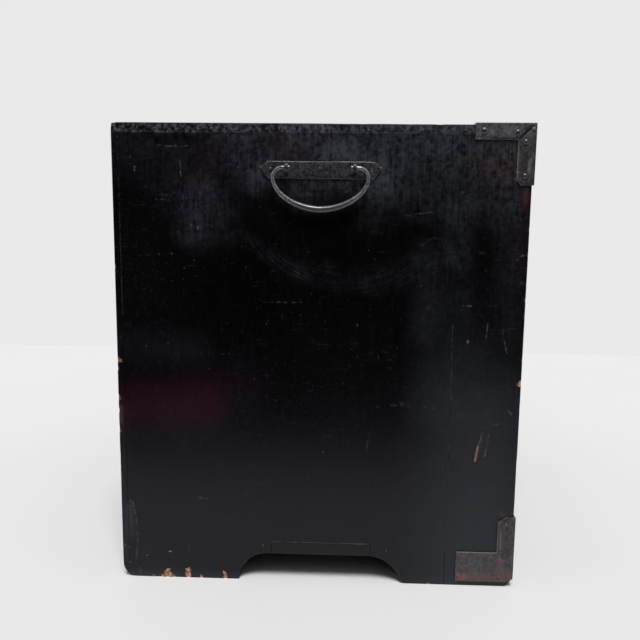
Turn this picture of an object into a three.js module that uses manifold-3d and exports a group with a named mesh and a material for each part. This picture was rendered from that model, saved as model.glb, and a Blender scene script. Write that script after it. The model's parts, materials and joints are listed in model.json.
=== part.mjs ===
// A small ship chest of lacquered boards with wrought iron mounts: one wide drawer over two small
// drawers and a hinged door, with a swinging carrying bail on each end.
//
// Millimetres. +Z is up, the front faces -Y, and the photographed end faces -X. The origin is the
// middle of the footprint, on the floor.

import * as THREE from "three";
import { mergeVertices } from "three/addons/utils/BufferGeometryUtils.js";
import loadManifold from "manifold-3d";

const solids = await loadManifold();
solids.setup();

// Outside of the case
const caseWidth = 560;
const caseDepth = 435.6;
const caseHeight = 500;

// Gap left between two pieces that touch
const fitGap = 0.3;

// End boards: a wide rear board and a narrow front board, edge to edge
const endThickness = 18;
const endFrontBoardWidth = 74.2;
const endFrontToeChamfer = 6.5;

// Arched cut-out that leaves two feet on each end, measured from the front edge
const footCutFront = 121.7;
const footCutRear = 303.8;
const footFrontShoulderRadius = 40;
const footRearShoulderRadius = 31.3;

// Bottom board, with one through tenon in each end
const bottomThickness = 13.2;
const bottomHeight = 31.3;
const tenonWidth = 110;
const tenonFromFront = 212;

// Top: a wide board and a narrow strip behind it, both rebated over the ends and the back
const topThickness = 18;
const topLip = 10.8;
const topStripWidth = 32.8;

// Back: two thin boards nailed on behind, lapped over each other
const backThickness = 7;
const backLap = 9;
const backLowerHeight = 246;

// Worn round of the lower rear edge, which the back shares with the feet
const rearToeRadius = 16;

// Shelves and partition, housed in grooves
const housingDepth = 5;
const mainShelfThickness = 14;
const mainShelfHeight = 336;
const sideShelfThickness = 12;
const sideShelfHeight = 184;
const doorShelfSetback = 34;
const partitionThickness = 14;
const partitionOffset = 40;

// Rail under the front of the bottom board
const railThickness = 17;
const railArchHeight = 15;
const railFootWidth = 92;
const railShoulderRadius = 15;

// Drawers
const drawerFrontThickness = 18;
const drawerFrontLap = 8;
const drawerSideThickness = 9;
const drawerBackThickness = 9;
const drawerBottomThickness = 8;
const drawerSideGap = 1.2;
const drawerTopGap = 1.6;
const drawerSideDrop = 3;
const drawerRearGap = 30.6;

// Door
const doorThickness = 18;
const doorGap = 1.5;

// Iron sheet
const ironThickness = 1.4;

// Upper corner straps: an L on the end, on the front and on the top
const upperStrapRun = 60;
const upperStrapArm = 15.2;
const upperStrapDrop = 60.6;
const upperStrapPostArm = 16.8;
const upperStrapRound = 5;
const upperStrapSeam = 0.6;

// Lower corner straps: a plate with a sloped arm above it, on the end and on the front
const lowerStrapRun = 62;
const lowerStrapFoot = 5.7;
const lowerStrapPlateTop = 40.2;
const lowerStrapTop = 81.6;
const lowerStrapArm = 17.6;
const lowerStrapClipRun = 6.8;
const lowerStrapClipRise = 3.6;
const lowerStrapShoulderRun = 8.4;
const lowerStrapShoulderDrop = 5.8;

// Carrying handles
const carryFromFront = 217;
const carryFromTop = 45.4;
const carryPlate = {
  halfLength: 63,
  top: 7,
  bottom: -10.4,
  tipRise: 1,
  upperBevel: 7.8,
  lowerBevel: 8.4,
};
const carryBail = {
  tipReach: 2.1,
  shoulder: 2.1,
  curl: 10.2,
  drop: 42,
  middleRadius: 3.5,
  endRadius: 2.1,
  fullness: 1.85,
};
const carryPost = {
  at: 35,
  standOff: 7.5,
  eyeRadius: 4.7,
  boreGap: 0.45,
  width: 3.8,
  shank: 3.4,
  legLength: 8,
  legThickness: 1.6,
};

// Drawer handles: the same form, smaller
const pullHeightShare = 0.6;
const topPullSpreadShare = 0.29;
const pullBail = {
  tipReach: 1.5,
  shoulder: 1.5,
  curl: 6.6,
  drop: 27,
  middleRadius: 2.5,
  endRadius: 1.6,
  fullness: 1.85,
};
const pullPost = {
  at: 24.4,
  standOff: 5.2,
  eyeRadius: 3.3,
  boreGap: 0.4,
  width: 3,
  shank: 2.8,
  legLength: 7,
  legThickness: 1.3,
};

// Lock plates
const lockPlate = { halfWidth: 23, halfHeight: 27, notch: 7, keyRadius: 3, keySlot: 2.6, keyLength: 9 };
const doorLockInset = 32;
const topLockDropShare = 0.54;

// Hinges: a leaf on the door, a leaf on the case with the pin
const hinge = {
  halfHeight: 18,
  knuckleRadius: 3.2,
  knuckleGap: 0.5,
  pinRadius: 1.6,
  boreGap: 0.4,
  doorRun: 58,
  doorPoint: 11,
  caseRun: 15.4,
};
const hingeFromShelf = 52;
const hingeAboveStrap = 7.7;

// Roundness of curves
const arcSteps = 8;
const rodSides = 10;
const bailSteps = 9;
const knuckleSides = 16;

// Places worked out from the sizes above
const left = -caseWidth / 2;
const right = caseWidth / 2;
const front = -caseDepth / 2;
const back = caseDepth / 2;
const innerLeft = left + endThickness;
const innerRight = right - endThickness;
const innerBack = back - backThickness;
const sideTop = caseHeight - topLip;
const ceiling = caseHeight - topThickness;
const floorTop = bottomHeight + bottomThickness;
const partitionLeft = partitionOffset - partitionThickness / 2;
const partitionRight = partitionOffset + partitionThickness / 2;
const sheet = fitGap + ironThickness;
const carryHeight = caseHeight - carryFromTop;

const lacquer = { color: 0x0b0b0d, roughness: 0.5, metalness: 0 };
const drawerLacquer = { color: 0x1a0f0b, roughness: 0.45, metalness: 0 };
const bareWood = { color: 0x9c7748, roughness: 0.8, metalness: 0 };
const iron = { color: 0x3b3735, roughness: 0.62, metalness: 0.8 };

// A box between two corners, given as a span along each axis
function slab([x0, x1], [y0, y1], [z0, z1]) {
  const geometry = new THREE.BoxGeometry(x1 - x0, y1 - y0, z1 - z0);
  return geometry.translate((x0 + x1) / 2, (y0 + y1) / 2, (z0 + z1) / 2);
}

// A flat outline given as corner points
function outline(points) {
  return new THREE.Shape(points.map(([u, v]) => new THREE.Vector2(u, v)));
}

function extrude(shape, depth) {
  return new THREE.ExtrudeGeometry(shape, { depth, bevelEnabled: false, curveSegments: arcSteps });
}

// An outline drawn in (y, z), made solid from x towards +X
function acrossEnd(shape, depth, x) {
  const turn = new THREE.Matrix4().makeBasis(
    new THREE.Vector3(0, 1, 0),
    new THREE.Vector3(0, 0, 1),
    new THREE.Vector3(1, 0, 0),
  );
  return extrude(shape, depth).applyMatrix4(turn).translate(x, 0, 0);
}

// An outline drawn in (x, z), made solid from y towards -Y
function acrossFront(shape, depth, y) {
  return extrude(shape, depth).rotateX(Math.PI / 2).translate(0, y, 0);
}

function toSolid(geometry) {
  const bare = geometry.clone();
  bare.deleteAttribute("normal");
  bare.deleteAttribute("uv");
  const welded = mergeVertices(bare);
  const mesh = new solids.Mesh({
    numProp: 3,
    vertProperties: Float32Array.from(welded.attributes.position.array),
    triVerts: Uint32Array.from(welded.index.array),
  });
  return new solids.Manifold(mesh);
}

function fromSolid(solid) {
  const mesh = solid.getMesh();
  const geometry = new THREE.BufferGeometry();
  geometry.setAttribute("position", new THREE.BufferAttribute(Float32Array.from(mesh.vertProperties), 3));
  geometry.setIndex(new THREE.BufferAttribute(Uint32Array.from(mesh.triVerts), 1));
  return geometry;
}

// The first geometry with all the others cut from it
function cut(base, ...tools) {
  return fromSolid(tools.reduce((solid, tool) => solid.subtract(toSolid(tool)), toSolid(base)));
}

function join(base, ...others) {
  return fromSolid(others.reduce((solid, other) => solid.add(toSolid(other)), toSolid(base)));
}

// The same geometry on the other end of the case
function mirrored(geometry) {
  const copy = (geometry.index ? geometry : mergeVertices(geometry)).clone().scale(-1, 1, 1);
  const order = copy.index.array;
  for (let corner = 0; corner < order.length; corner += 3) {
    [order[corner], order[corner + 1]] = [order[corner + 1], order[corner]];
  }
  return copy;
}

const chest = new THREE.Group();

function piece(name, geometry, finish, parent = chest) {
  const flat = geometry.index ? geometry.toNonIndexed() : geometry;
  flat.computeVertexNormals();
  const mesh = new THREE.Mesh(flat, new THREE.MeshStandardMaterial(finish));
  mesh.name = name;
  parent.add(mesh);
  return mesh;
}

// A flat-topped arch from one place on the floor to another, added to an outline
function addArch(shape, start, end, height, startRadius, endRadius) {
  const startAngle = Math.asin((startRadius - height) / startRadius);
  const startCentre = start + startRadius * Math.cos(startAngle);
  const endAngle = Math.asin((endRadius - height) / endRadius);
  const endCentre = end - endRadius * Math.cos(endAngle);
  shape.lineTo(start, 0);
  shape.absarc(startCentre, height - startRadius, startRadius, Math.PI - startAngle, Math.PI / 2, true);
  shape.absarc(endCentre, height - endRadius, endRadius, Math.PI / 2, endAngle, true);
}

// Where the worn round of the lower rear edge is as far back as y, as an angle on its circle
function toeAngle(y) {
  return -Math.acos(1 - (back - y) / rearToeRadius);
}

// Outline of an end's wide rear board in (y, z), with the arched cut-out between its feet
function endRearOutline() {
  const start = front + endFrontBoardWidth + fitGap / 2;
  const rear = innerBack - fitGap;
  const shape = new THREE.Shape();
  shape.moveTo(start, 0);
  addArch(
    shape, front + footCutFront, front + footCutRear, bottomHeight,
    footFrontShoulderRadius, footRearShoulderRadius,
  );
  shape.absarc(
    back - rearToeRadius, rearToeRadius, rearToeRadius, -Math.PI / 2, toeAngle(rear), false,
  );
  shape.lineTo(rear, sideTop - fitGap);
  shape.lineTo(start, sideTop - fitGap);
  return shape;
}

function endFrontOutline() {
  const seam = front + endFrontBoardWidth - fitGap / 2;
  return outline([
    [front, endFrontToeChamfer],
    [front + endFrontToeChamfer, 0],
    [seam, 0],
    [seam, sideTop - fitGap],
    [front, sideTop - fitGap],
  ]);
}

// Grooves in the left end for the bottom board and the shelves; the side shelf's starts at its setback
function endGrooves(setback) {
  const across = [innerLeft - housingDepth, innerLeft + fitGap];
  const along = [front - fitGap, back];
  const shelfTop = sideShelfHeight + sideShelfThickness;
  return [
    slab(across, along, [bottomHeight - fitGap, floorTop + fitGap]),
    slab(across, along, [mainShelfHeight - fitGap, mainShelfHeight + mainShelfThickness + fitGap]),
    slab(across, [front + setback - fitGap, back], [sideShelfHeight - fitGap, shelfTop + fitGap]),
  ];
}

function bottomMortise() {
  const middle = front + tenonFromFront;
  const half = tenonWidth / 2 + fitGap;
  return slab(
    [left - fitGap, innerLeft + fitGap],
    [middle - half, middle + half],
    [bottomHeight - fitGap, floorTop + fitGap],
  );
}

// The slot and inner recess that one carrying post needs in the left end
function carryPostSlots() {
  const places = [-carryPost.at, carryPost.at];
  const halfWidth = carryPost.width / 2 + fitGap;
  const halfShank = carryPost.shank / 2 + fitGap;
  const halfLegs = carryPost.shank / 2 + carryPost.legLength + fitGap;
  return places.flatMap((place) => {
    const middle = front + carryFromFront + place;
    const across = [middle - halfWidth, middle + halfWidth];
    const recess = [innerLeft - carryPost.legThickness - 2 * fitGap, innerLeft + fitGap];
    return [
      slab([left - fitGap, innerLeft], across, [carryHeight - halfShank, carryHeight + halfShank]),
      slab(recess, across, [carryHeight - halfLegs, carryHeight + halfLegs]),
    ];
  });
}

// Both ends are made as the left one, and the right one is turned over to its own side
function addEnds() {
  const ends = {
    left: { setback: 0, place: (geometry) => geometry },
    right: { setback: doorShelfSetback, place: mirrored },
  };
  for (const [name, { setback, place }] of Object.entries(ends)) {
    const grooves = endGrooves(setback);
    const rear = cut(
      acrossEnd(endRearOutline(), endThickness, left), ...grooves, bottomMortise(), ...carryPostSlots(),
    );
    const narrow = cut(acrossEnd(endFrontOutline(), endThickness, left), ...grooves);
    piece(`${name}_end_rear_board`, place(rear), lacquer);
    piece(`${name}_end_front_board`, place(narrow), lacquer);
  }
}

function addTop() {
  const seam = back - topStripWidth;
  const height = [ceiling, caseHeight];
  const rebate = [ceiling - fitGap, sideTop];
  const sides = [
    slab([left - fitGap, innerLeft + fitGap], [front - fitGap, back + fitGap], rebate),
    slab([innerRight - fitGap, right + fitGap], [front - fitGap, back + fitGap], rebate),
  ];
  const rear = slab([left - fitGap, right + fitGap], [innerBack - fitGap, back + fitGap], rebate);
  const board = cut(slab([left, right], [front, seam - fitGap / 2], height), ...sides);
  const strip = cut(slab([left, right], [seam + fitGap / 2, back], height), ...sides, rear);
  piece("top_board", board, lacquer);
  piece("top_rear_strip", strip, lacquer);
}

// Bottom board with grooves' tongues and the two through tenons
function addBottom() {
  const reach = endThickness - housingDepth + fitGap;
  const middle = front + tenonFromFront;
  const height = [bottomHeight, floorTop];
  const board = slab([left + reach, right - reach], [front, innerBack - fitGap], height);
  const tenons = slab([left, right], [middle - tenonWidth / 2, middle + tenonWidth / 2], height);
  const groove = slab(
    [partitionLeft - fitGap, partitionRight + fitGap],
    [front - fitGap, back],
    [floorTop - housingDepth, floorTop + fitGap],
  );
  piece("bottom_board", cut(join(board, tenons), groove), lacquer);
}

function addBack() {
  const step = back - backThickness / 2;
  const outside = new THREE.Shape();
  outside.absarc(
    back - rearToeRadius, rearToeRadius, rearToeRadius, toeAngle(innerBack), 0, false,
  );
  outside.lineTo(back, backLowerHeight - backLap);
  outside.lineTo(step + fitGap / 2, backLowerHeight - backLap);
  outside.lineTo(step + fitGap / 2, backLowerHeight);
  outside.lineTo(innerBack, backLowerHeight);
  const upper = outline([
    [innerBack, backLowerHeight + fitGap],
    [step + fitGap, backLowerHeight + fitGap],
    [step + fitGap, backLowerHeight - backLap + fitGap],
    [back, backLowerHeight - backLap + fitGap],
    [back, sideTop - fitGap],
    [innerBack, sideTop - fitGap],
  ]);
  piece("back_lower_board", acrossEnd(outside, caseWidth, left), lacquer);
  piece("back_upper_board", acrossEnd(upper, caseWidth, left), lacquer);
}

function addShelves() {
  const reach = endThickness - housingDepth + fitGap;
  const rear = innerBack - fitGap;
  const partitionSpan = [partitionLeft, partitionRight];
  const grooveSpan = [partitionLeft - fitGap, partitionRight + fitGap];
  const mainSpan = [mainShelfHeight, mainShelfHeight + mainShelfThickness];
  const shelfSpan = [sideShelfHeight, sideShelfHeight + sideShelfThickness];
  const shelfGroove = [sideShelfHeight - fitGap, sideShelfHeight + sideShelfThickness + fitGap];
  const main = cut(
    slab([left + reach, right - reach], [front, rear], mainSpan),
    slab(grooveSpan, [front - fitGap, back], [mainShelfHeight - fitGap, mainShelfHeight + housingDepth]),
  );
  const partition = cut(
    slab(
      partitionSpan,
      [front, rear],
      [floorTop - housingDepth + fitGap, mainShelfHeight + housingDepth - fitGap],
    ),
    slab([partitionLeft - fitGap, partitionLeft + housingDepth], [front - fitGap, back], shelfGroove),
    slab(
      [partitionRight - housingDepth, partitionRight + fitGap],
      [front + doorShelfSetback - fitGap, back],
      shelfGroove,
    ),
  );
  piece("main_shelf", main, lacquer);
  piece("partition", partition, lacquer);
  const drawerShelfRun = [left + reach, partitionLeft + housingDepth - fitGap];
  const doorShelfRun = [partitionRight - housingDepth + fitGap, right - reach];
  piece("drawer_shelf", slab(drawerShelfRun, [front, rear], shelfSpan), lacquer);
  piece("door_shelf", slab(doorShelfRun, [front + doorShelfSetback, rear], shelfSpan), bareWood);
}

// Rail between the feet at the front, with a low arch
function addFrontRail() {
  const start = innerLeft + fitGap;
  const end = innerRight - fitGap;
  const top = bottomHeight - fitGap;
  const shape = new THREE.Shape();
  shape.moveTo(start, 0);
  addArch(
    shape, innerLeft + railFootWidth, innerRight - railFootWidth, railArchHeight,
    railShoulderRadius, railShoulderRadius,
  );
  shape.lineTo(end, 0);
  shape.lineTo(end, top);
  shape.lineTo(start, top);
  piece("front_rail", acrossFront(shape, railThickness, front + railThickness), lacquer);
}

// Upper corner strap of the left end: one folded sheet with arms on the end, the front and the top
function upperStrap() {
  const outX = left - sheet;
  const outY = front - sheet;
  const outZ = caseHeight + sheet;
  const runBack = front + upperStrapRun;
  const runAcross = left + upperStrapRun;
  const armFoot = caseHeight - upperStrapArm;
  const foot = caseHeight - upperStrapDrop;
  const armY = front + upperStrapPostArm;
  const armX = left + upperStrapPostArm;
  const onEnd = outline([
    [outY, foot],
    [armY - upperStrapRound, foot],
    [armY, foot + upperStrapRound],
    [armY, armFoot],
    [runBack, armFoot],
    [runBack, outZ],
    [outY, outZ],
  ]);
  const onFront = outline([
    [outX, foot],
    [armX - upperStrapRound, foot],
    [armX, foot + upperStrapRound],
    [armX, armFoot],
    [runAcross, armFoot],
    [runAcross, outZ],
    [outX, outZ],
  ]);
  const onTop = outline([
    [outX, outY],
    [runAcross, outY],
    [runAcross, armY],
    [armX, armY],
    [armX, runBack],
    [outX, runBack],
  ]);
  // The folded seam runs from the corner to the inside corner of the L on the end
  const seamStart = new THREE.Vector2(armY + upperStrapSeam, armFoot - upperStrapSeam);
  const seamEnd = new THREE.Vector2(front + upperStrapSeam, caseHeight - upperStrapSeam);
  const across = seamEnd.clone().sub(seamStart).normalize().multiplyScalar(upperStrapSeam / 2);
  const seam = outline([
    [seamStart.x - across.y, seamStart.y + across.x],
    [seamStart.x + across.y, seamStart.y - across.x],
    [seamEnd.x + across.y, seamEnd.y - across.x],
    [seamEnd.x - across.y, seamEnd.y + across.x],
  ]);
  const whole = join(
    acrossEnd(onEnd, ironThickness, outX),
    acrossFront(onFront, ironThickness, outY + ironThickness),
    extrude(onTop, ironThickness).translate(0, 0, outZ - ironThickness),
  );
  return cut(whole, acrossEnd(seam, sheet, outX - fitGap));
}

// Outline of a lower strap's face, from its folded edge inwards
function lowerStrapOutline(edge, fold) {
  const run = edge + lowerStrapRun;
  const arm = edge + lowerStrapArm;
  return outline([
    [fold, lowerStrapFoot + lowerStrapClipRise],
    [edge + lowerStrapClipRun, lowerStrapFoot],
    [run, lowerStrapFoot],
    [run, lowerStrapPlateTop],
    [arm, lowerStrapPlateTop],
    [arm, lowerStrapTop - lowerStrapShoulderDrop],
    [arm - lowerStrapShoulderRun, lowerStrapTop],
    [fold, lowerStrapTop],
  ]);
}

function lowerStrap() {
  const outX = left - sheet;
  const outY = front - sheet;
  return join(
    acrossEnd(lowerStrapOutline(front, outY), ironThickness, outX),
    acrossFront(lowerStrapOutline(left, outX), ironThickness, outY + ironThickness),
  );
}

function addStraps() {
  const upper = upperStrap();
  const lower = lowerStrap();
  piece("upper_left_strap", upper, iron);
  piece("upper_right_strap", mirrored(upper), iron);
  piece("lower_left_strap", lower, iron);
  piece("lower_right_strap", mirrored(lower), iron);
}

// Points and radii along half a bail, from the middle of its bow to the tip, in (x, z) below its pivot.
// The straight end runs through the post's eye and a little past it on both sides.
function bailCourse({ tipReach, shoulder, curl, drop, middleRadius, endRadius, fullness }, { at, width }) {
  const tip = at - width / 2 - tipReach;
  const bend = at + width / 2 + shoulder;
  const widest = bend + curl;
  const course = [];
  for (let step = 0; step < bailSteps; step += 1) {
    const angle = (Math.PI / 2) * (1 - step / bailSteps);
    const across = widest * Math.cos(angle) ** (2 / fullness);
    const down = curl + (drop - curl) * Math.sin(angle) ** (2 / fullness);
    const share = across / widest;
    course.push([across, -down, endRadius + (middleRadius - endRadius) * (1 - share * share)]);
  }
  for (let step = 0; step < arcSteps / 2; step += 1) {
    const angle = (Math.PI / 2) * (step / (arcSteps / 2));
    course.push([bend + curl * Math.cos(angle), curl * Math.sin(angle) - curl, endRadius]);
  }
  course.push([bend, 0, endRadius], [tip, 0, endRadius]);
  return course;
}

// A round rod with a changing radius along a course in the (x, z) plane
function rod(course) {
  const points = [];
  course.forEach(([x, z, radius], index) => {
    const before = course[Math.max(index - 1, 0)];
    const after = course[Math.min(index + 1, course.length - 1)];
    const along = new THREE.Vector2(after[0] - before[0], after[1] - before[1]).normalize();
    for (let side = 0; side < rodSides; side += 1) {
      const angle = (2 * Math.PI * side) / rodSides;
      const outward = radius * Math.cos(angle);
      points.push(x - along.y * outward, radius * Math.sin(angle), z + along.x * outward);
    }
  });
  const faces = [];
  const last = (course.length - 1) * rodSides;
  for (let ring = 0; ring < last; ring += rodSides) {
    for (let side = 0; side < rodSides; side += 1) {
      const next = (side + 1) % rodSides;
      faces.push(ring + next, ring + side, ring + rodSides + side);
      faces.push(ring + rodSides + next, ring + next, ring + rodSides + side);
    }
  }
  for (let side = 1; side < rodSides - 1; side += 1) {
    faces.push(0, side, side + 1);
    faces.push(last, last + side + 1, last + side);
  }
  const geometry = new THREE.BufferGeometry();
  geometry.setAttribute("position", new THREE.BufferAttribute(new Float32Array(points), 3));
  geometry.setIndex(faces);
  return geometry;
}

// A hanging bail, facing -Y, with its pivot at the origin
function bail(form, postForm) {
  const half = bailCourse(form, postForm);
  const other = half.slice(1).map(([x, z, radius]) => [-x, z, radius]);
  return rod([...other.reverse(), ...half]);
}

// A split post: an eye on the pivot, a shank through the wall and two clenched legs behind it, facing -Y
function post(form, boreRadius, wallThickness) {
  const halfShank = form.shank / 2;
  const inside = wallThickness + fitGap;
  const wall = form.standOff + inside;
  const legs = wall + form.legThickness;
  const reach = halfShank + form.legLength;
  const lift = Math.asin(halfShank / form.eyeRadius);
  const shape = new THREE.Shape();
  shape.absarc(0, 0, form.eyeRadius, lift, 2 * Math.PI - lift, false);
  shape.lineTo(wall, -halfShank);
  shape.lineTo(wall, -reach);
  shape.lineTo(legs, -reach);
  shape.lineTo(legs, reach);
  shape.lineTo(wall, reach);
  shape.lineTo(wall, halfShank);
  const eye = new THREE.Path();
  eye.absarc(0, 0, boreRadius, 0, 2 * Math.PI, true);
  shape.holes.push(eye);
  return acrossEnd(shape, form.width, -form.width / 2);
}

// One bail on its two posts, placed in a group whose -Y faces out of the wall and whose origin is on
// the wall at the pivot's height
function addBail(name, bailForm, postForm, wallThickness, group, legInset) {
  const boreRadius = bailForm.endRadius + postForm.boreGap;
  const bow = piece(`${name}_bail`, bail(bailForm, postForm), iron, group);
  bow.position.y = -postForm.standOff;
  const places = { left: -postForm.at, right: postForm.at };
  for (const [side, place] of Object.entries(places)) {
    const split = post(postForm, boreRadius, wallThickness - legInset);
    piece(`${name}_post_${side}`, split, iron, group).position.set(place, -postForm.standOff, 0);
  }
}

function carryPlateGeometry() {
  const { halfLength, top, bottom, tipRise, upperBevel, lowerBevel } = carryPlate;
  const sides = [
    [-halfLength + lowerBevel, bottom],
    [halfLength - lowerBevel, bottom],
    [halfLength, tipRise],
    [halfLength - upperBevel, top],
    [-halfLength + upperBevel, top],
    [-halfLength, tipRise],
  ];
  const halfWidth = carryPost.width / 2 + fitGap;
  const halfShank = carryPost.shank / 2 + fitGap;
  const slots = [-carryPost.at, carryPost.at].map((place) =>
    slab([place - halfWidth, place + halfWidth], [-2 * sheet, sheet], [-halfShank, halfShank]));
  return cut(acrossFront(outline(sides), ironThickness, -fitGap), ...slots);
}

function addCarryHandles() {
  const ends = { left: { x: left, turn: -Math.PI / 2 }, right: { x: right, turn: Math.PI / 2 } };
  for (const [name, { x, turn }] of Object.entries(ends)) {
    const group = new THREE.Group();
    group.position.set(x, front + carryFromFront, carryHeight);
    group.rotation.z = turn;
    chest.add(group);
    piece(`${name}_carry_plate`, carryPlateGeometry(), iron, group);
    addBail(`${name}_carry`, carryBail, carryPost, endThickness, group, carryPost.legThickness + 2 * fitGap);
  }
}

// The five pieces of one drawer in its opening, with the pulls' slots cut through the front
function addDrawer(name, [x0, x1], [z0, z1], pulls) {
  const start = x0 + drawerSideGap;
  const end = x1 - drawerSideGap;
  const foot = z0 + fitGap;
  const top = z1 - drawerTopGap;
  const face = front;
  const faceBack = face + drawerFrontThickness;
  const lap = face + drawerFrontLap;
  const rear = innerBack - drawerRearGap;
  const overBottom = foot + drawerBottomThickness + fitGap;
  const sideTopHeight = top - drawerSideDrop;
  const pullHeight = z0 + (z1 - z0) * pullHeightShare;
  const halfWidth = pullPost.width / 2 + fitGap;
  const halfShank = pullPost.shank / 2 + fitGap;
  const slots = pulls.flatMap((middle) => [-pullPost.at, pullPost.at].map((place) => slab(
    [middle + place - halfWidth, middle + place + halfWidth],
    [face - fitGap, faceBack + fitGap],
    [pullHeight - halfShank, pullHeight + halfShank],
  )));
  const rebate = [lap, faceBack + fitGap];
  const fullHeight = [foot - fitGap, top + fitGap];
  const frontBoard = cut(
    slab([start, end], [face, faceBack], [foot, top]),
    slab([start - fitGap, start + drawerSideThickness + fitGap], rebate, fullHeight),
    slab([end - drawerSideThickness - fitGap, end + fitGap], rebate, fullHeight),
    slab([start - fitGap, end + fitGap], rebate, [foot - fitGap, overBottom]),
    ...slots,
  );
  piece(`${name}_front`, frontBoard, drawerLacquer);
  const sideRun = [lap + fitGap, rear];
  const sideHeight = [overBottom, sideTopHeight];
  piece(`${name}_side_left`, slab([start, start + drawerSideThickness], sideRun, sideHeight), bareWood);
  piece(`${name}_side_right`, slab([end - drawerSideThickness, end], sideRun, sideHeight), bareWood);
  piece(`${name}_back`, slab(
    [start + drawerSideThickness + fitGap, end - drawerSideThickness - fitGap],
    [rear - drawerBackThickness, rear],
    sideHeight,
  ), bareWood);
  piece(`${name}_bottom`, slab([start, end], sideRun, [foot, foot + drawerBottomThickness]), bareWood);
  pulls.forEach((middle, index) => {
    const group = new THREE.Group();
    group.position.set(middle, face, pullHeight);
    chest.add(group);
    const suffix = pulls.length > 1 ? `_${index + 1}` : "";
    addBail(`${name}${suffix}`, pullBail, pullPost, drawerFrontThickness, group, 0);
  });
}

function addDrawers() {
  const wide = [innerLeft, innerRight];
  const narrow = [innerLeft, partitionLeft];
  const spread = (innerRight - innerLeft) * topPullSpreadShare;
  const narrowMiddle = (innerLeft + partitionLeft) / 2;
  addDrawer("top_drawer", wide, [mainShelfHeight + mainShelfThickness, ceiling], [-spread, spread]);
  addDrawer("upper_drawer", narrow, [sideShelfHeight + sideShelfThickness, mainShelfHeight], [narrowMiddle]);
  addDrawer("lower_drawer", narrow, [floorTop, sideShelfHeight], [narrowMiddle]);
}

// A lock plate with notched corners and a keyhole, its middle at (x, z) on a wall at the front
function lockPlateAt(x, z) {
  const { halfWidth, halfHeight, notch, keyRadius, keySlot, keyLength } = lockPlate;
  const shape = outline([
    [x - halfWidth + notch, z - halfHeight],
    [x + halfWidth - notch, z - halfHeight],
    [x + halfWidth - notch, z - halfHeight + notch],
    [x + halfWidth, z - halfHeight + notch],
    [x + halfWidth, z + halfHeight - notch],
    [x + halfWidth - notch, z + halfHeight - notch],
    [x + halfWidth - notch, z + halfHeight],
    [x - halfWidth + notch, z + halfHeight],
    [x - halfWidth + notch, z + halfHeight - notch],
    [x - halfWidth, z + halfHeight - notch],
    [x - halfWidth, z - halfHeight + notch],
    [x - halfWidth + notch, z - halfHeight + notch],
  ]);
  const opening = Math.asin(keySlot / 2 / keyRadius);
  const key = new THREE.Path();
  key.absarc(x, z, keyRadius, opening - Math.PI / 2, (3 * Math.PI) / 2 - opening, false);
  key.lineTo(x - keySlot / 2, z - keyLength);
  key.lineTo(x + keySlot / 2, z - keyLength);
  shape.holes.push(key);
  return acrossFront(shape, ironThickness, front - fitGap);
}

function hingeKnuckle(radius, [z0, z1]) {
  const drum = new THREE.CylinderGeometry(radius, radius, z1 - z0, knuckleSides);
  return drum.rotateX(Math.PI / 2).translate(0, 0, (z0 + z1) / 2);
}

// A hinge's two leaves with the pin's axis at the origin: the door's to -X, the case's to +X
function hingeLeaves() {
  const { halfHeight, knuckleRadius, knuckleGap, pinRadius, boreGap } = hinge;
  const { doorRun, doorPoint, caseRun } = hinge;
  const third = halfHeight / 3;
  const face = [knuckleRadius - ironThickness, knuckleRadius];
  const clear = knuckleRadius + knuckleGap;
  const doorPlate = outline([
    [0, -halfHeight],
    [0, halfHeight],
    [-doorRun + doorPoint, halfHeight],
    [-doorRun, 0],
    [-doorRun + doorPoint, -halfHeight],
  ].reverse());
  const middle = [-third, third];
  const lower = [-halfHeight, -third - knuckleGap];
  const upper = [third + knuckleGap, halfHeight];
  const slackSpan = [-clear, clear];
  const bore = hingeKnuckle(pinRadius + boreGap, [-halfHeight, halfHeight]);
  const doorLeaf = cut(
    join(acrossFront(doorPlate, ironThickness, knuckleRadius), hingeKnuckle(knuckleRadius, middle)),
    slab(slackSpan, slackSpan, [-2 * halfHeight, -third]),
    slab(slackSpan, slackSpan, [third, 2 * halfHeight]),
    bore,
  );
  const casePlate = slab([0, caseRun], face, [-halfHeight, halfHeight]);
  const gap = slab(slackSpan, slackSpan, [-third - knuckleGap, third + knuckleGap]);
  const caseLeaf = join(
    cut(join(casePlate, hingeKnuckle(knuckleRadius, lower), hingeKnuckle(knuckleRadius, upper)), gap),
    hingeKnuckle(pinRadius, [-halfHeight, halfHeight]),
  );
  return { doorLeaf, caseLeaf };
}

function addDoor() {
  const start = partitionRight + doorGap;
  const end = innerRight - doorGap;
  const foot = floorTop + doorGap;
  const top = mainShelfHeight - doorGap;
  piece("door", slab([start, end], [front, front + doorThickness], [foot, top]), drawerLacquer);
  piece("door_lock_plate", lockPlateAt(start + doorLockInset, (foot + top) / 2), iron);
  const { doorLeaf, caseLeaf } = hingeLeaves();
  const places = {
    upper: mainShelfHeight - hingeFromShelf,
    lower: lowerStrapTop + hingeAboveStrap + hinge.halfHeight,
  };
  for (const [name, height] of Object.entries(places)) {
    const group = new THREE.Group();
    group.position.set(innerRight - doorGap / 2, front - fitGap - hinge.knuckleRadius, height);
    chest.add(group);
    piece(`${name}_hinge_door_leaf`, doorLeaf.clone(), iron, group);
    piece(`${name}_hinge_case_leaf`, caseLeaf.clone(), iron, group);
  }
}

function addTopLockPlate() {
  const foot = mainShelfHeight + mainShelfThickness;
  piece("top_drawer_lock_plate", lockPlateAt(0, foot + (ceiling - foot) * topLockDropShare), iron);
}

addEnds();
addTop();
addBottom();
addBack();
addShelves();
addFrontRail();
addStraps();
addCarryHandles();
addDrawers();
addTopLockPlate();
addDoor();

export default chest;
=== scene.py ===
import json
import math

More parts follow.
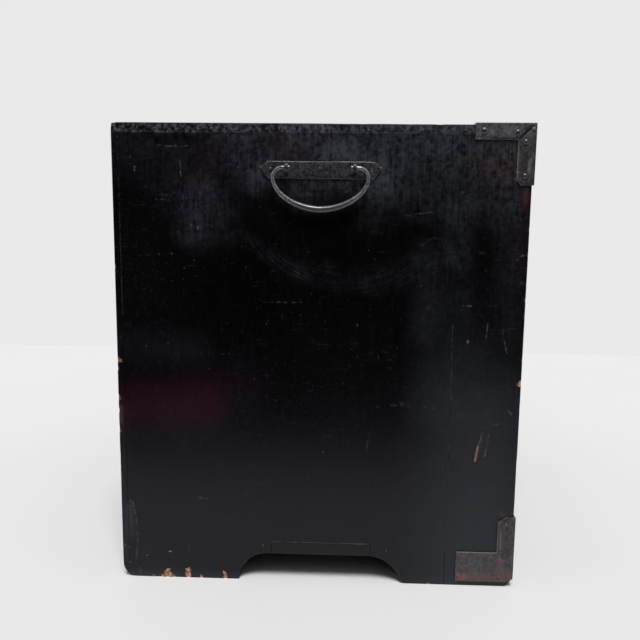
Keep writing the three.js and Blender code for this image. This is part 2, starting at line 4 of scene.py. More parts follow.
import bmesh
import bpy
import numpy
from bpy.props import FloatProperty, FloatVectorProperty, IntProperty, PointerProperty
from mathutils import Matrix, Vector, noise
from mathutils.bvhtree import BVHTree

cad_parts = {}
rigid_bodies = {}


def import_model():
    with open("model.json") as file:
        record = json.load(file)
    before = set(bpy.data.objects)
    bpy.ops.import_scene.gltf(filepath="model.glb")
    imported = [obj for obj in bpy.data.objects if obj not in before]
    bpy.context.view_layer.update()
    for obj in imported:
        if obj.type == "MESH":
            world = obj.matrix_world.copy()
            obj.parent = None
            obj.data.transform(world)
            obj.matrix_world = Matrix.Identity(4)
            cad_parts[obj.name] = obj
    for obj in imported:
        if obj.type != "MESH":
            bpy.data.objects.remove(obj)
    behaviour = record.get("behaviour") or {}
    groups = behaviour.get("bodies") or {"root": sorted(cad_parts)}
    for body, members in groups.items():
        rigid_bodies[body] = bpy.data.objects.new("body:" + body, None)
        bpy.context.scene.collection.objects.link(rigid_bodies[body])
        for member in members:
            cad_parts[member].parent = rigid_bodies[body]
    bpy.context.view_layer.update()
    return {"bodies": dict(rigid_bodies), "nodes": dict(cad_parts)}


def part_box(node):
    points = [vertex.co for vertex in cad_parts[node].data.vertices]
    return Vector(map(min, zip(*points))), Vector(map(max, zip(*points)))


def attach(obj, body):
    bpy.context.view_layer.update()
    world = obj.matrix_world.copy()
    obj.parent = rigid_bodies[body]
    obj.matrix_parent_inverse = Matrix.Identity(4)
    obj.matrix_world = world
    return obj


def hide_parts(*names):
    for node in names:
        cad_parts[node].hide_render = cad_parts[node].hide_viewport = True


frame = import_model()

bl_info = {
    "name": "Ship Chest",
    "version": (1, 0, 0),
    "blender": (4, 5, 0),
    "location": "3D View > Sidebar > Ship Chest",
    "description": "Dresses a small lacquered ship chest: worn boards, wrought iron, nails and its studio",
    "category": "Object",
}

# The case's outer faces, in metres: the photographed end faces -X and the front faces -Y
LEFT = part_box("left_end_rear_board")[0].x
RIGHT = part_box("right_end_rear_board")[1].x
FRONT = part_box("left_end_front_board")[0].y
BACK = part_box("back_lower_board")[1].y
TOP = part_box("top_board")[1].z
MM = 0.001

UP = Vector((0.0, 0.0, 1.0))
FORWARD = Vector((0.0, -1.0, 0.0))
REARWARD = Vector((0.0, 1.0, 0.0))
# Out of each end, by the sign of its X
SIDES = {-1: Vector((-1.0, 0.0, 0.0)), 1: Vector((1.0, 0.0, 0.0))}


def on_end(way, run, height, proud=0.0):
    """A place on an end, in millimetres: from its front edge, above the floor and out from its face"""
    return Vector(((RIGHT + proud * MM) * way, FRONT + run * MM, height * MM))


def on_left_end(run, height):
    """A place on the photographed end, in millimetres from its front edge and above the floor"""
    return Vector((LEFT, FRONT + run * MM, height * MM))


# Settings


def length(name, description, value, low, high):
    """A length setting"""
    return FloatProperty(
        name=name, description=description, default=value, min=low, max=high,
        unit="LENGTH", subtype="DISTANCE",
    )


def angle(name, description, degrees):
    """An angle setting"""
    return FloatProperty(
        name=name, description=description, default=math.radians(degrees), unit="ROTATION", subtype="ANGLE",
    )


def brightness(name, description, value):
    """A setting for how strong a light is"""
    return FloatProperty(name=name, description=description, default=value, min=0.0)


def colour(name, description, value):
    """A colour setting"""
    return FloatVectorProperty(
        name=name, description=description, default=value, size=3, min=0.0, max=1.0, subtype="COLOR",
    )


class ChestSizes(bpy.types.PropertyGroup):
    """Sizes of the wear, the iron and the nails"""

    arris: length("Board edge", "Width of the rounding along a board's edges", 0.0008, 0.0002, 0.003)
    wear: length("Edge wear", "How far the edges of the boards are worn back", 0.0005, 0.0, 0.002)
    nick: length("Nick depth", "Depth of the small nicks along the edges", 0.0011, 0.0, 0.003)
    cell: length("Board cell", "Spacing of the points on a board's faces", 0.006, 0.003, 0.05)
    iron_edge: length("Iron edge", "Width of the rounding along the sheet's edges", 0.0005, 0.0001, 0.0007)
    iron_cell: length("Iron cell", "Spacing of the points on the iron sheet", 0.004, 0.002, 0.02)
    hammer: length("Hammer marks", "How far the hammered iron is out of true", 0.00016, 0.0, 0.0003)
    nail: length("Nail head", "Radius of a large nail head", 0.0021, 0.0005, 0.006)
    nail_rise: FloatProperty(
        name="Nail rise", description="Height of a nail head as a share of its radius",
        default=0.65, min=0.1, max=1.0, subtype="FACTOR",
    )
    nail_seed: IntProperty(
        name="Nail seed", description="Seed of the small differences between nail heads", default=7, min=0,
    )


class ChestColours(bpy.types.PropertyGroup):
    """Colours of the finishes"""

    lacquer: colour("Lacquer", "Black lacquer of the case", (0.0004, 0.0004, 0.0006))
    sheen: colour("Lacquer sheen", "Tint of the light that the lacquer reflects", (0.87, 0.90, 1.0))
    haze: colour("Haze", "Dust and handling haze on the front half", (0.035, 0.038, 0.048))
    rear_haze: colour("Rear haze", "Dust and handling haze on the rear half", (0.039, 0.037, 0.055))
    scuffed: colour("Scuffs", "Light scratches and scuffs in the lacquer", (0.085, 0.086, 0.100))
    rubbed: colour("Rubbed lacquer", "Lacquer worn thin along the edges", (0.046, 0.038, 0.036))
    # Also the colour of a painted reflection: the broad dark red patch at the rear of the photographed end
    undercoat_and_reflection: colour("Undercoat", "Dark red that shows where the lacquer is thin", (0.0160, 0.0004, 0.0066))
    brown: colour("Worn undercoat", "Brown where the lacquer is worn through", (0.060, 0.026, 0.022))
    chipped: colour("Chipped wood", "Bare wood where the lacquer has chipped off", (0.66, 0.36, 0.225))
    old_wood: colour("Old bare wood", "Darkened bare wood, high on the boards", (0.155, 0.070, 0.048))
    front: colour("Front lacquer", "Brown lacquer of the drawer fronts and the door", (0.088, 0.025, 0.010))
    front_grain: colour("Front grain", "Dark grain under the brown lacquer", (0.016, 0.005, 0.003))
    front_aged: colour("Aged front", "Places where the brown lacquer has darkened", (0.030, 0.010, 0.006))
    front_rubbed: colour("Rubbed front", "Brown lacquer worn thin along the edges", (0.16, 0.072, 0.034))
    timber: colour("Timber", "Light wood of the drawers' insides", (0.46, 0.29, 0.15))
    timber_grain: colour("Timber grain", "Darker grain of the light wood", (0.27, 0.145, 0.065))
    timber_pores: colour("Timber pores", "Pores of the light wood", (0.16, 0.085, 0.04))
    timber_stain: colour("Timber stain", "Stains in the light wood", (0.20, 0.12, 0.065))
    timber_grime: colour("Timber grime", "Grime along the edges of the light wood", (0.12, 0.07, 0.04))
    iron: colour("Iron", "Dark wrought iron", (0.056, 0.055, 0.061))
    iron_dust: colour("Iron dust", "Dust on the iron near the top", (0.115, 0.115, 0.135))
    iron_pits: colour("Iron pits", "Deep pits in the iron", (0.012, 0.010, 0.010))
    # Paints shade into the mitre's crease and a shadow line under the upper strap's arm
    iron_dark_and_shade: colour("Iron crease", "Gaps and folds in the iron", (0.004, 0.004, 0.004))
    # Also paints the highlights along the iron's top edges and on the bails' outward faces
    rubbed_iron_and_highlight: colour("Rubbed iron", "Iron polished by hands", (0.35, 0.35, 0.385))
    rust: colour("Rust", "Brown rust on the iron", (0.104, 0.060, 0.058))
    bright_rust: colour("Bright rust", "Red rust round the lowest nails", (0.225, 0.085, 0.074))
    floor: colour("Floor", "Pale studio floor", (0.86, 0.86, 0.86))
    backdrop: colour("Backdrop", "Pale studio backdrop", (0.82, 0.82, 0.82))
    flag: colour("Flag", "Black sheet that only reflections see", (0.002, 0.002, 0.002))


class ChestStage(bpy.types.PropertyGroup):
    """Camera and lamps"""

    camera_place: FloatVectorProperty(
        name="Camera", description="Where the camera stands",
        default=(-0.95648, -0.02309, 0.38755), size=3, unit="LENGTH", subtype="TRANSLATION",
    )
    camera_turn: FloatVectorProperty(
        name="Camera turn", description="Pitch down, yaw to the back and roll of the camera",
        default=(0.133275, 0.031435, 0.011931), size=3, unit="ROTATION", subtype="EULER",
    )
    lens: FloatProperty(
        name="Lens", description="Focal length on a 36 mm sensor",
        default=36.06, min=10.0, max=200.0, unit="CAMERA",
    )
    key: brightness("Key lamp", "Strength of the soft key lamp", 2.3)
    key_height: angle("Key height", "Height of the key lamp above the horizon", 66)
    key_turn: angle("Key turn", "How far the key lamp stands round towards the front", 6)
    key_softness: angle("Key softness", "Size of the key lamp as seen from the chest", 20)
    sky: brightness("Fill", "Strength of the even light from above", 0.50)


def sizes():
    """The sizes that are set"""
    return bpy.context.scene.chest_sizes


def colours():
    """The colours that are set"""
    return bpy.context.scene.chest_colours


# Nodes


class Nodes:
    """Short ways to fill a node tree"""

    def __init__(self, tree):
        self.tree = tree

    def feed(self, socket, value):
        """Links a socket to another one, or fills it with a value"""
        if isinstance(value, bpy.types.NodeSocket):
            self.tree.links.new(value, socket)
        else:
            socket.default_value = value

    def add(self, kind, inputs=None, **settings):
        """A node with its settings and its inputs"""
        made = self.tree.nodes.new(kind)
        for key, value in settings.items():
            setattr(made, key, value)
        for key, value in (inputs or {}).items():
            self.feed(made.inputs[key], value)
        return made

    def maths(self, operation, first, *others, clamp=False):
        """Values taken together in order, with the last result held between nought and one or not"""
        for value in others or (0.0,):
            made = self.add("ShaderNodeMath", {0: first, 1: value}, operation=operation)
            first = made.outputs[0]
        made.use_clamp = clamp
        return first

    def plus(self, *values, clamp=False):
        """A sum"""
        return self.maths("ADD", *values, clamp=clamp)

    def times(self, *values, clamp=False):
        """A product"""
        return self.maths("MULTIPLY", *values, clamp=clamp)

    def ramp(self, value, start, end, low=0.0, high=1.0):
        """A soft step: low up to start and high from end"""
        levels = {"From Min": start, "From Max": end, "To Min": low, "To Max": high}
        made = self.add("ShaderNodeMapRange", {"Value": value, **levels}, interpolation_type="SMOOTHSTEP")
        return made.outputs["Result"]

    def parts(self, place):
        """The X, Y and Z of a place"""
        return self.add("ShaderNodeSeparateXYZ", {0: place}).outputs

    def blend(self, share, first, second):
        """A mix of two colours, each from a socket or plain; sockets 6 and 7 of the mix node take them"""
        pair = [
            value if isinstance(value, bpy.types.NodeSocket) else opaque(value) for value in (first, second)
        ]
        inputs = {"Factor": share, 6: pair[0], 7: pair[1]}
        return self.add("ShaderNodeMix", inputs, data_type="RGBA").outputs[2]

    def bump(self, *layers):
        """Bumps laid one on another, each a height and its depth"""
        laid = {}
        for height, depth in layers:
            made = self.add("ShaderNodeBump", {"Height": height, "Distance": depth, "Strength": 1.0, **laid})
            laid = {"Normal": made.outputs["Normal"]}
        return laid["Normal"]


def opaque(value):
    """A colour with its alpha"""
    return (*value, 1.0)


class Coat(Nodes):
    """A material in the making: its noises and soft steps have names, and their numbers are in tables"""

    def __init__(self, name, clouds, steps):
        material = bpy.data.materials.new(name)
        material.use_nodes = True
        super().__init__(material.node_tree)
        self.clouds = clouds
        self.steps = steps
        self.place = self.add("ShaderNodeTexCoord").outputs["Object"]

    def cloud(self, name, stretch=None, place=None):
        """A noise, stretched where a grain runs: its waves a metre, detail and roughness are in the table"""
        place = self.place if place is None else place
        if stretch is not None:
            place = self.add("ShaderNodeMapping", {"Vector": place, "Scale": stretch}).outputs[0]
        scale, detail, roughness = self.clouds[name]
        inputs = {"Vector": place, "Scale": scale, "Detail": detail, "Roughness": roughness}
        return self.add("ShaderNodeTexNoise", inputs).outputs["Fac"]

    def step(self, name, value):
        """A soft step: the table has where it starts and ends, and its levels if they aren't 0 and 1"""
        return self.ramp(value, *self.steps[name])

    def mark(self, name):
        """An attribute that the piece's points carry, and nought where they carry none"""
        return self.add("ShaderNodeAttribute", attribute_name=name).outputs["Fac"]

    def rings(self, direction, stretch, numbers, turn=(0.0, 0.0, 0.0)):
        """Growth rings of sawn wood, stretched along its grain"""
        turned = {"Vector": self.place, "Scale": stretch, "Rotation": turn}
        place = self.add("ShaderNodeMapping", turned).outputs[0]
        return self.add(
            "ShaderNodeTexWave", {"Vector": place, **numbers},
            wave_type="BANDS", bands_direction=direction, wave_profile="SAW",
        ).outputs["Fac"]

    def paint(self, **inputs):
        """Feeds the shader"""
        shader = self.tree.nodes["Principled BSDF"]
        for key, value in inputs.items():
            self.feed(shader.inputs[key.replace("_", " ")], value)


# Marks on the photographed end

# Each row is a line with soft sides: its start and its end, from the front edge and above the floor, and
# its half width, in millimetres, and then its strength
MARKS = {
    # Dust and handling haze
    "haze": (
        (235, 486, 205, 470, 50, 0.46), (190, 464, 160, 446, 38, 0.42), (150, 484, 30, 478, 56, 0.46),
        (262, 450, 236, 432, 28, 0.3), (140, 432, 30, 424, 44, 0.22), (350, 388, 342, 428, 30, 0.3),
        (318, 388, 316, 412, 25, 0.13), (18, 470, 14, 290, 36, 0.14), (106, 372, 105, 286, 24, 0.11),
        (74, 410, 76, 368, 28, 0.2), (72, 350, 55, 270, 34, 0.11), (400, 486, 320, 480, 40, 0.03),
        (302, 486, 286, 464, 44, 0.3), (424, 482, 330, 450, 56, 0.09), (284, 450, 286, 436, 18, 0.26),
        (376, 432, 372, 420, 26, 0.1), (168, 420, 164, 400, 24, 0.1), (426.5, 84, 425.5, 50, 6, 0.55),
        (42, 196, 42, 20, 104, 0.42), (432, 200, 432, 20, 6, 0.16), (435, 496, 0, 496, 10, 0.12),
        (15.5, 86, 10.8, 82, 6, 0.2), (430, 266, 350, 262, 30, 0.09), (428, 2, 308, 2, 8, 0.45),
        (118, 2, 62, 2, 7, 0.35), (214, 450, 168, 446, 24, 0.22), (240, 430, 176, 430, 26, 0.1),
        (92, 310, 92, 205, 44, 0.12),
    ),
    # Haze that a cloth has wiped into arcs
    "wiped": (
        (296, 383, 268, 363, 15, 0.1), (268, 363, 238, 346, 16, 0.11), (238, 346, 201, 336, 15, 0.11),
        (201, 336, 165, 334, 14, 0.1), (165, 334, 128, 343, 15, 0.11), (128, 343, 101, 356, 16, 0.11),
        (101, 356, 86, 376, 14, 0.09), (250, 370, 205, 352, 12, 0.05), (205, 352, 150, 350, 12, 0.05),
        (150, 350, 112, 366, 13, 0.08),
    ),
    # Scratches, scuffs, dents, filled nail holes and the light lines of the seams
    "scuff": (
        (275.8, 315.2, 266, 315.4, 1, 0.5), (262, 315.4, 250, 315, 1.1, 0.6),
        (246, 315.2, 235.3, 315.3, 1, 0.5), (130, 407.2, 117.7, 409.3, 1, 0.8),
        (117.7, 409.3, 101.2, 411.6, 0.9, 0.9), (65.3, 314.2, 55.9, 314.3, 1.2, 1.1),
        (139.2, 205.4, 116.6, 204.7, 0.9, 0.6), (102.6, 203.9, 91.9, 205.3, 0.9, 0.6),
        (349.5, 95.2, 332.8, 93.3, 1, 0.8), (38.4, 297.6, 39.6, 278.3, 1, 0.8),
        (22.1, 286.1, 16.7, 262.5, 1.2, 0.7), (37.3, 182, 20.4, 186.8, 1.1, 0.7),
        (38.2, 177.5, 40.7, 161.7, 1, 0.9), (31.6, 175.4, 34.9, 151.7, 0.9, 1),
        (162.1, 165.7, 164, 152.1, 0.9, 0.5), (191.6, 431, 178.3, 435.2, 0.8, 0.6),
        (174.1, 433.3, 181.2, 427.1, 0.8, 0.6), (58.5, 276.4, 58.5, 275.2, 1.9, 2.2),
        (21.2, 289.3, 19.5, 288.3, 2.6, 1.1), (12.8, 201.3, 9.8, 198.6, 2.2, 1.6),
        (72.3, 27.3, 72.3, 26.9, 1.5, 1.8), (345.5, 393.5, 345.5, 391, 1.5, 1.4),
        (352.9, 395.9, 352.9, 395, 1.3, 1), (411.6, 454.8, 411.6, 451.6, 1.5, 1.6),
        (387.5, 364.8, 387.5, 364.4, 1.3, 0.7), (361, 350.3, 361, 349.9, 1.3, 0.8),
        (383.3, 31, 379.9, 31.1, 1.2, 0.9), (360.5, 37.7, 360, 31.7, 1.3, 0.8),
        (416.4, 11, 416.4, 4.2, 1, 0.9), (211, 151.2, 211, 150.8, 1.4, 0.6),
        (428.4, 90.2, 422.8, 88.4, 1.4, 0.7), (422.8, 88.4, 419.4, 66.9, 1.4, 0.7),
        (419.4, 66.9, 418.6, 43.2, 1.4, 0.6), (418.6, 43.2, 421, 14, 1.4, 0.5),
        (17.4, 441, 17.4, 478, 1, 0.5), (74.8, 294, 74.2, 200, 1, 0.75), (74.2, 200, 74.2, 36, 1, 0.7),
        (160, 45.4, 272, 45.4, 0.9, 1.1), (428.6, 487, 428.2, 300, 0.9, 0.45),
        (1.6, 371.6, 6.5, 367.4, 0.9, 1.1), (6.5, 367.4, 12.4, 362.1, 0.8, 0.8),
        (4.9, 394.8, 4.9, 393.8, 1.2, 1.2), (6, 340, 5.6, 337, 0.9, 0.7), (5.6, 273, 5.8, 271.8, 1.3, 1),
        (3.8, 260, 4.8, 255, 0.9, 0.8), (5.2, 223.6, 5.4, 221.6, 1.2, 0.9),
        (390.2, 477.4, 380.9, 476.6, 0.9, 0.9), (378, 476, 353.7, 476.3, 0.8, 1),
        (363.4, 462, 362.6, 444, 0.8, 0.7), (360.8, 427, 362.1, 413.9, 0.9, 0.6),
        (363.2, 451.2, 363.2, 449.2, 1.2, 1), (391.4, 427.1, 373.5, 426.2, 0.8, 0.45),
        (390.5, 421.9, 374.6, 421, 0.8, 0.45), (373.6, 365.8, 373.6, 364.9, 1.2, 0.9),
        (252.9, 422.3, 251.8, 421.6, 1.3, 0.8), (416.4, 7.8, 416.2, 6.6, 1.2, 1.1),
        (433.2, 38, 433.4, 35, 1, 1), (434, 499, 428, 493, 3.5, 0.8), (431.6, 19.5, 430.9, 17, 1.2, 1),
        (402.6, 489.6, 402.8, 500, 0.9, 1.2), (422, 490.6, 345, 490.6, 0.8, 1),
        (387, 294.6, 386, 294, 1.4, 0.35), (316.4, 292.4, 315.4, 291.6, 1.4, 0.4),
        (176.6, 292.8, 175.6, 291.8, 1.5, 0.55), (181.8, 265.8, 181.2, 265, 1.3, 0.45),
        (152.8, 203.4, 152.2, 202.6, 1.2, 0.4), (141.6, 246.8, 140.4, 246.2, 1.3, 0.35),
        (111.4, 376.4, 96.2, 387, 1.4, 0.25), (115.1, 359.7, 101.7, 366.2, 1.4, 0.22),
        (428, 495.5, 215, 495.5, 9, 1), (215, 496, 60, 496, 8, 0.7),
    ),
    # Undercoat that shows, and above 1.3 lacquer that is worn through.
    # The broad dark red patch at the rear, in the first two rows, is a painted reflection
    "warm": (
        (430, 200, 345, 202, 46, 1), (345, 216, 300, 226, 46, 0.28), (40, 458, 24, 455, 32, 0.65),
        (5.5, 436, 5, 420, 9, 2.3), (268, 485, 250, 470, 34, 0.45), (433, 205, 433, 165, 2.6, 2.4),
        (10, 395, 12, 350, 18, 0.3), (330, 462, 345, 440, 40, 0.2), (14, 86, 11, 82, 4, 2),
    ),
    # Wood laid bare
    "bare": (
        (39.6, 176, 43.6, 158, 1, 0.8), (43, 160, 45.4, 145, 2.1, 1.5), (34.2, 158, 35.2, 150, 0.9, 0.9),
        (386.4, 7.6, 384.6, 5.2, 1.6, 1.2), (387, 4.6, 382, 3.4, 2.6, 1.6),
        (382, 3.4, 375, 1.2, 1.7, 1.3), (391.4, 2.4, 389.6, 1.4, 1.1, 1),
        (383, 30.8, 381.2, 30.2, 0.9, 0.8), (362.6, 9.4, 361.2, 1.6, 2.4, 1.7),
        (360.8, 11.6, 360.4, 8.4, 1.2, 1), (347.2, 2.6, 346.6, 0.6, 1.4, 1.3),
        (319.4, 6, 319.8, 1, 1.9, 1.5), (90.9, 1.8, 90.9, 0.5, 1.1, 1.1), (403, 1.4, 399, 2, 1, 0.7),
        (2.8, 233.5, 2, 229, 2, 1.6), (434.9, 352, 434.5, 349, 1.4, 0.9),
        (434.2, 250.5, 434.2, 247.8, 1.8, 1.2), (434.6, 213, 434.4, 168, 0.9, 0.7),
    ),
    # Dark gaps and smears
    "dark": (
        (416, 488.4, 337, 488.4, 0.8, 0.8), (401.4, 490, 401.4, 499.5, 0.7, 0.7),
        (428, 495.5, 346, 495.5, 6.5, 0.9), (338, 495.5, 300, 495.5, 6, 0.3),
        (292, 495.5, 262, 495.5, 6, 0.9), (255, 495.5, 70, 495.5, 6, 0.15),
    ),
}
# Marks in the iron of that end
IRON_MARKS = {
    # Painted shade in the mitre's crease and a painted shadow line under the upper arm's lower edge, and
    # darker places on two strap arms and by the notch in the plate
    "dark": (
        (1, 500.4, 16, 485.4, 1.2, 1.3), (16, 485.7, 44, 485.7, 0.9, 0.9),
        (160.8, 455.6, 153, 454, 1.6, 0.8), (8, 82, 8, 40, 11, 0.3), (9, 470, 9, 438, 8, 0.35),
    ),
    # Rust round the nails
    "warm": (
        (58, 13.6, 53, 12.6, 6.5, 1.9), (15.5, 32.2, 11.5, 31.4, 5.5, 1.4),
        (16.4, 12, 11.5, 11.6, 5, 1.1), (59.5, 37, 55, 35.5, 5, 1.2), (62, 8, 8, 7, 3.5, 0.9),
        (8, 472, 8, 442, 12, 0.55), (14, 80, 10, 79, 3.5, 1.2),
    ),
    # Polished places, and painted highlights: the bright lines along the top edges of the upper strap,
    # the lower strap's arm and the carrying plate
    "scuff": (
        (2, 501.6, 59, 501.6, 1.5, 1.3), (16.1, 476, 16.1, 446, 0.9, 0.8), (10, 494, 56, 493, 8.5, 0.42),
        (3.5, 464, 4.5, 452, 3.5, 0.8), (268, 461.5, 232, 461.7, 0.9, 0.8),
        (196, 461.7, 166, 461.2, 0.9, 0.8), (13.8, 68, 13.8, 44, 1, 0.6), (60, 40, 20, 40.8, 1, 0.9),
    ),
}
# The middle of the wiped arcs, and how far the noise moves on for each radian round it
WIPED_AT = (188.0, 446.0)
ARC_STRETCH = 0.004


# Finishes

# How a noise is stretched along and across the grain
LACQUER_GRAIN = {
    "X": ((0.05, 1.0, 1.0), (1.0, 0.07, 0.07)),
    "Z": ((1.0, 1.0, 0.05), (0.07, 0.07, 1.0)),
}
LACQUER_CLOUDS = {
    "brush": (520.0, 3.0, 0.7), "grain": (110.0, 4.0, 0.6), "hairs": (900.0, 1.0, 0.5),
    "ticks": (800.0, 1.0, 0.5), "mottle": (75.0, 5.0, 0.7), "drift": (9.0, 3.0, 0.5),
    "grit": (520.0, 3.0, 0.75), "flecks": (210.0, 4.0, 0.72), "specks": (300.0, 1.0, 0.5),
    "arcs": (620.0, 2.0, 0.6),
}
LACQUER_STEPS = {
    "rubbed": (0.36, 0.60), "bare places": (0.45, 0.7), "bare": (0.64, 0.72), "torn": (0.3, 0.55, 0.45, 1.3),
    "gouged": (0.35, 0.75), "high up": (0.24, 0.42, 0.12, 1.0), "arcs": (0.44, 0.70, 0.35, 1.5),
    "cloudy mottle": (0.32, 0.68, -0.5, 0.4), "cloudy brush": (0.3, 0.7, -0.32, 0.35),
    "cloudy flecks": (0.36, 0.66, -0.38, 0.45), "all over": (0.35, 0.75, 0.0, 0.012),
    "specks": (0.735, 0.77, 0.0, 0.5), "hairs": (0.66, 0.76, 0.0, 0.16), "ticks": (0.68, 0.77, 0.0, 0.28),
    "brush lines": (0.5, 0.75, 0.0, 0.055), "scratched places": (0.42, 0.6), "gritty dust": (0.3, 0.8),
    "drifted dust": (0.4, 0.7, 0.0, 0.4), "broken scuffs": (0.44, 0.60, 0.06, 0.95),
    "thin": (0.3, 0.7, 0.8, 1.0), "worn through": (1.3, 2.2), "worn grit": (0.35, 0.65, 0.3, 1.0),
    "thin grain": (0.42, 0.66), "thin mottle": (0.3, 0.6, 0.3, 1.0), "thin brush": (0.52, 0.72, 0.0, 0.6),
    "rear": (-0.06, 0.08), "warm dust": (0.0, 0.8, 0.0, 0.8), "broken dark": (0.62, 0.42),
    "old wood": (0.03, 0.10, 0.0, 0.85), "gloss": (0.3, 0.7, 0.29, 0.33),
    "rough flecks": (0.35, 0.7, 0.0, 0.05),
}
# Dust and streaks come in between these depths behind the end grain of a board along X, and dust comes in
# over this height above where it starts
END_GRAIN = (0.3 * MM, 0.9 * MM)
DUST_RISE = 0.6 * MM
ARRIS_FALL = 3.0
HAZE_DULLS = 0.3
BARE_DULLS = 0.4
LACQUER_SPECULAR = 0.35
BRUSH_DEPTH = 0.07 * MM
GRAIN_DEPTH = 0.13 * MM
BARE_DEPTH = -0.4 * MM
WOOD_SHADE = 0.55


def wiping_arcs(coat):
    """Fine arcs round the middle of the wiping"""
    parts = coat.parts(coat.place)
    middle = on_left_end(*WIPED_AT)
    run = coat.maths("SUBTRACT", parts["Y"], middle.y)
    rise = coat.maths("SUBTRACT", parts["Z"], middle.z)
    around = coat.times(coat.maths("ARCTAN2", rise, run), ARC_STRETCH)
    radius = coat.maths("SQRT", coat.plus(coat.times(run, run), coat.times(rise, rise)))
    place = coat.add("ShaderNodeCombineXYZ", {"X": radius, "Y": around}).outputs[0]
    return coat.step("arcs", coat.cloud("arcs", place=place))


def lacquer(name, grain_axis, dusty=0.0, dusty_from=0.0, scratched=1.0, thin_coat=0.0):
    """Black lacquer: brush marks along the grain, dust, rubbed edges and the marks of use"""
    coat = Coat(name, LACQUER_CLOUDS, LACQUER_STEPS)
    tint = colours()
    along, across = LACQUER_GRAIN[grain_axis]
    brush, grain, hairs = (coat.cloud(kind, along) for kind in ("brush", "grain", "hairs"))
    ticks = coat.cloud("ticks", across)
    mottle, drift, grit, flecks = (coat.cloud(kind) for kind in ("mottle", "drift", "grit", "flecks"))
    parts = coat.parts(coat.place)
    height = parts["Z"]
    long_face = 1.0
    if grain_axis == "X":
        outward = coat.maths("ABSOLUTE", parts["X"])
        long_face = coat.ramp(outward, *(RIGHT - depth for depth in END_GRAIN))

    ragged = coat.times(coat.maths("POWER", coat.mark("arris"), ARRIS_FALL), mottle)
    torn = coat.times(coat.mark("bare"), coat.step("torn", grit))
    bare = coat.step("bare", coat.times(ragged, coat.step("bare places", drift)))
    bare = coat.plus(bare, coat.step("gouged", torn), clamp=True)

    clouded = coat.plus(
        coat.step("cloudy mottle", mottle), coat.step("cloudy brush", brush),
        coat.step("cloudy flecks", flecks),
    )
    clouded = coat.plus(coat.times(clouded, coat.step("high up", height)), 1.0)
    wiped = coat.times(coat.mark("wiped"), wiping_arcs(coat))
    fine = coat.plus(
        coat.step("specks", coat.cloud("specks")), coat.step("hairs", hairs), coat.step("ticks", ticks),
        coat.step("brush lines", brush),
    )
    fine = coat.times(fine, scratched, coat.step("scratched places", mottle))
    haze = coat.times(coat.plus(coat.mark("haze"), wiped), clouded)
    haze = coat.plus(haze, coat.step("all over", drift), fine)
    if dusty:
        dust = coat.plus(coat.step("gritty dust", grit), coat.step("drifted dust", drift))
        above = coat.ramp(height, dusty_from, dusty_from + DUST_RISE)
        haze = coat.plus(haze, coat.times(dust, dusty, long_face, above))
    scuffs = coat.times(coat.mark("scuff"), coat.step("broken scuffs", flecks), clamp=True)

    warm = coat.mark("warm")
    # Undercoat where the warm attribute lies, and there too the painted dark red reflection
    base = coat.blend(coat.times(warm, coat.step("thin", grain), clamp=True), tint.lacquer, tint.undercoat_and_reflection)
    worn = coat.times(coat.step("worn through", warm), coat.step("worn grit", grit))
    base = coat.blend(worn, base, tint.brown)
    if thin_coat:
        streaks = coat.times(coat.step("thin grain", grain), coat.step("thin mottle", mottle))
        streaks = coat.plus(streaks, coat.step("thin brush", brush), clamp=True)
        base = coat.blend(coat.times(streaks, thin_coat, long_face), base, tint.rubbed)
    base = coat.blend(coat.step("rubbed", ragged), base, tint.rubbed)
    dust_tint = coat.blend(coat.step("rear", parts["Y"]), tint.haze, tint.rear_haze)
    dust_tint = coat.blend(coat.step("warm dust", warm), dust_tint, tint.rubbed)
    base = coat.blend(haze, base, dust_tint)
    base = coat.blend(scuffs, base, tint.scuffed)
    dark = coat.times(coat.mark("dark"), coat.step("broken dark", flecks), clamp=True)
    base = coat.blend(dark, base, tint.lacquer)
    wood = coat.blend(grain, tint.chipped, [WOOD_SHADE * part for part in tint.chipped])
    wood = coat.blend(coat.step("old wood", height), wood, tint.old_wood)
    base = coat.blend(bare, base, wood)
    rough = coat.plus(
        coat.step("gloss", drift), coat.times(haze, HAZE_DULLS), coat.step("rough flecks", flecks),
        coat.times(bare, BARE_DULLS), clamp=True,
    )
    coat.paint(
        Base_Color=base, Roughness=rough, Specular_IOR_Level=LACQUER_SPECULAR,
        Specular_Tint=opaque(tint.sheen),
        Normal=coat.bump((brush, BRUSH_DEPTH), (grain, GRAIN_DEPTH), (bare, BARE_DEPTH)),
    )


WOOD_CLOUDS = {"grain": (260.0, 4.0, 0.6)}
WOOD_STEPS = {"grain": (0.35, 0.65)}
WOOD_GRAIN = (1.0, 1.0, 0.12)
CHIP_SHADE = 0.5
CHIP_ROUGH = 0.8
CHIP_GRAIN_DEPTH = 0.3 * MM


def chipped_wood(name):
    """Bare wood in the chips"""
    coat = Coat(name, WOOD_CLOUDS, WOOD_STEPS)
    tint = colours()
    grain = coat.cloud("grain", WOOD_GRAIN)
    base = coat.blend(coat.step("grain", grain), tint.chipped, [CHIP_SHADE * part for part in tint.chipped])
    coat.paint(Base_Color=base, Roughness=CHIP_ROUGH, Normal=coat.bump((grain, CHIP_GRAIN_DEPTH)))


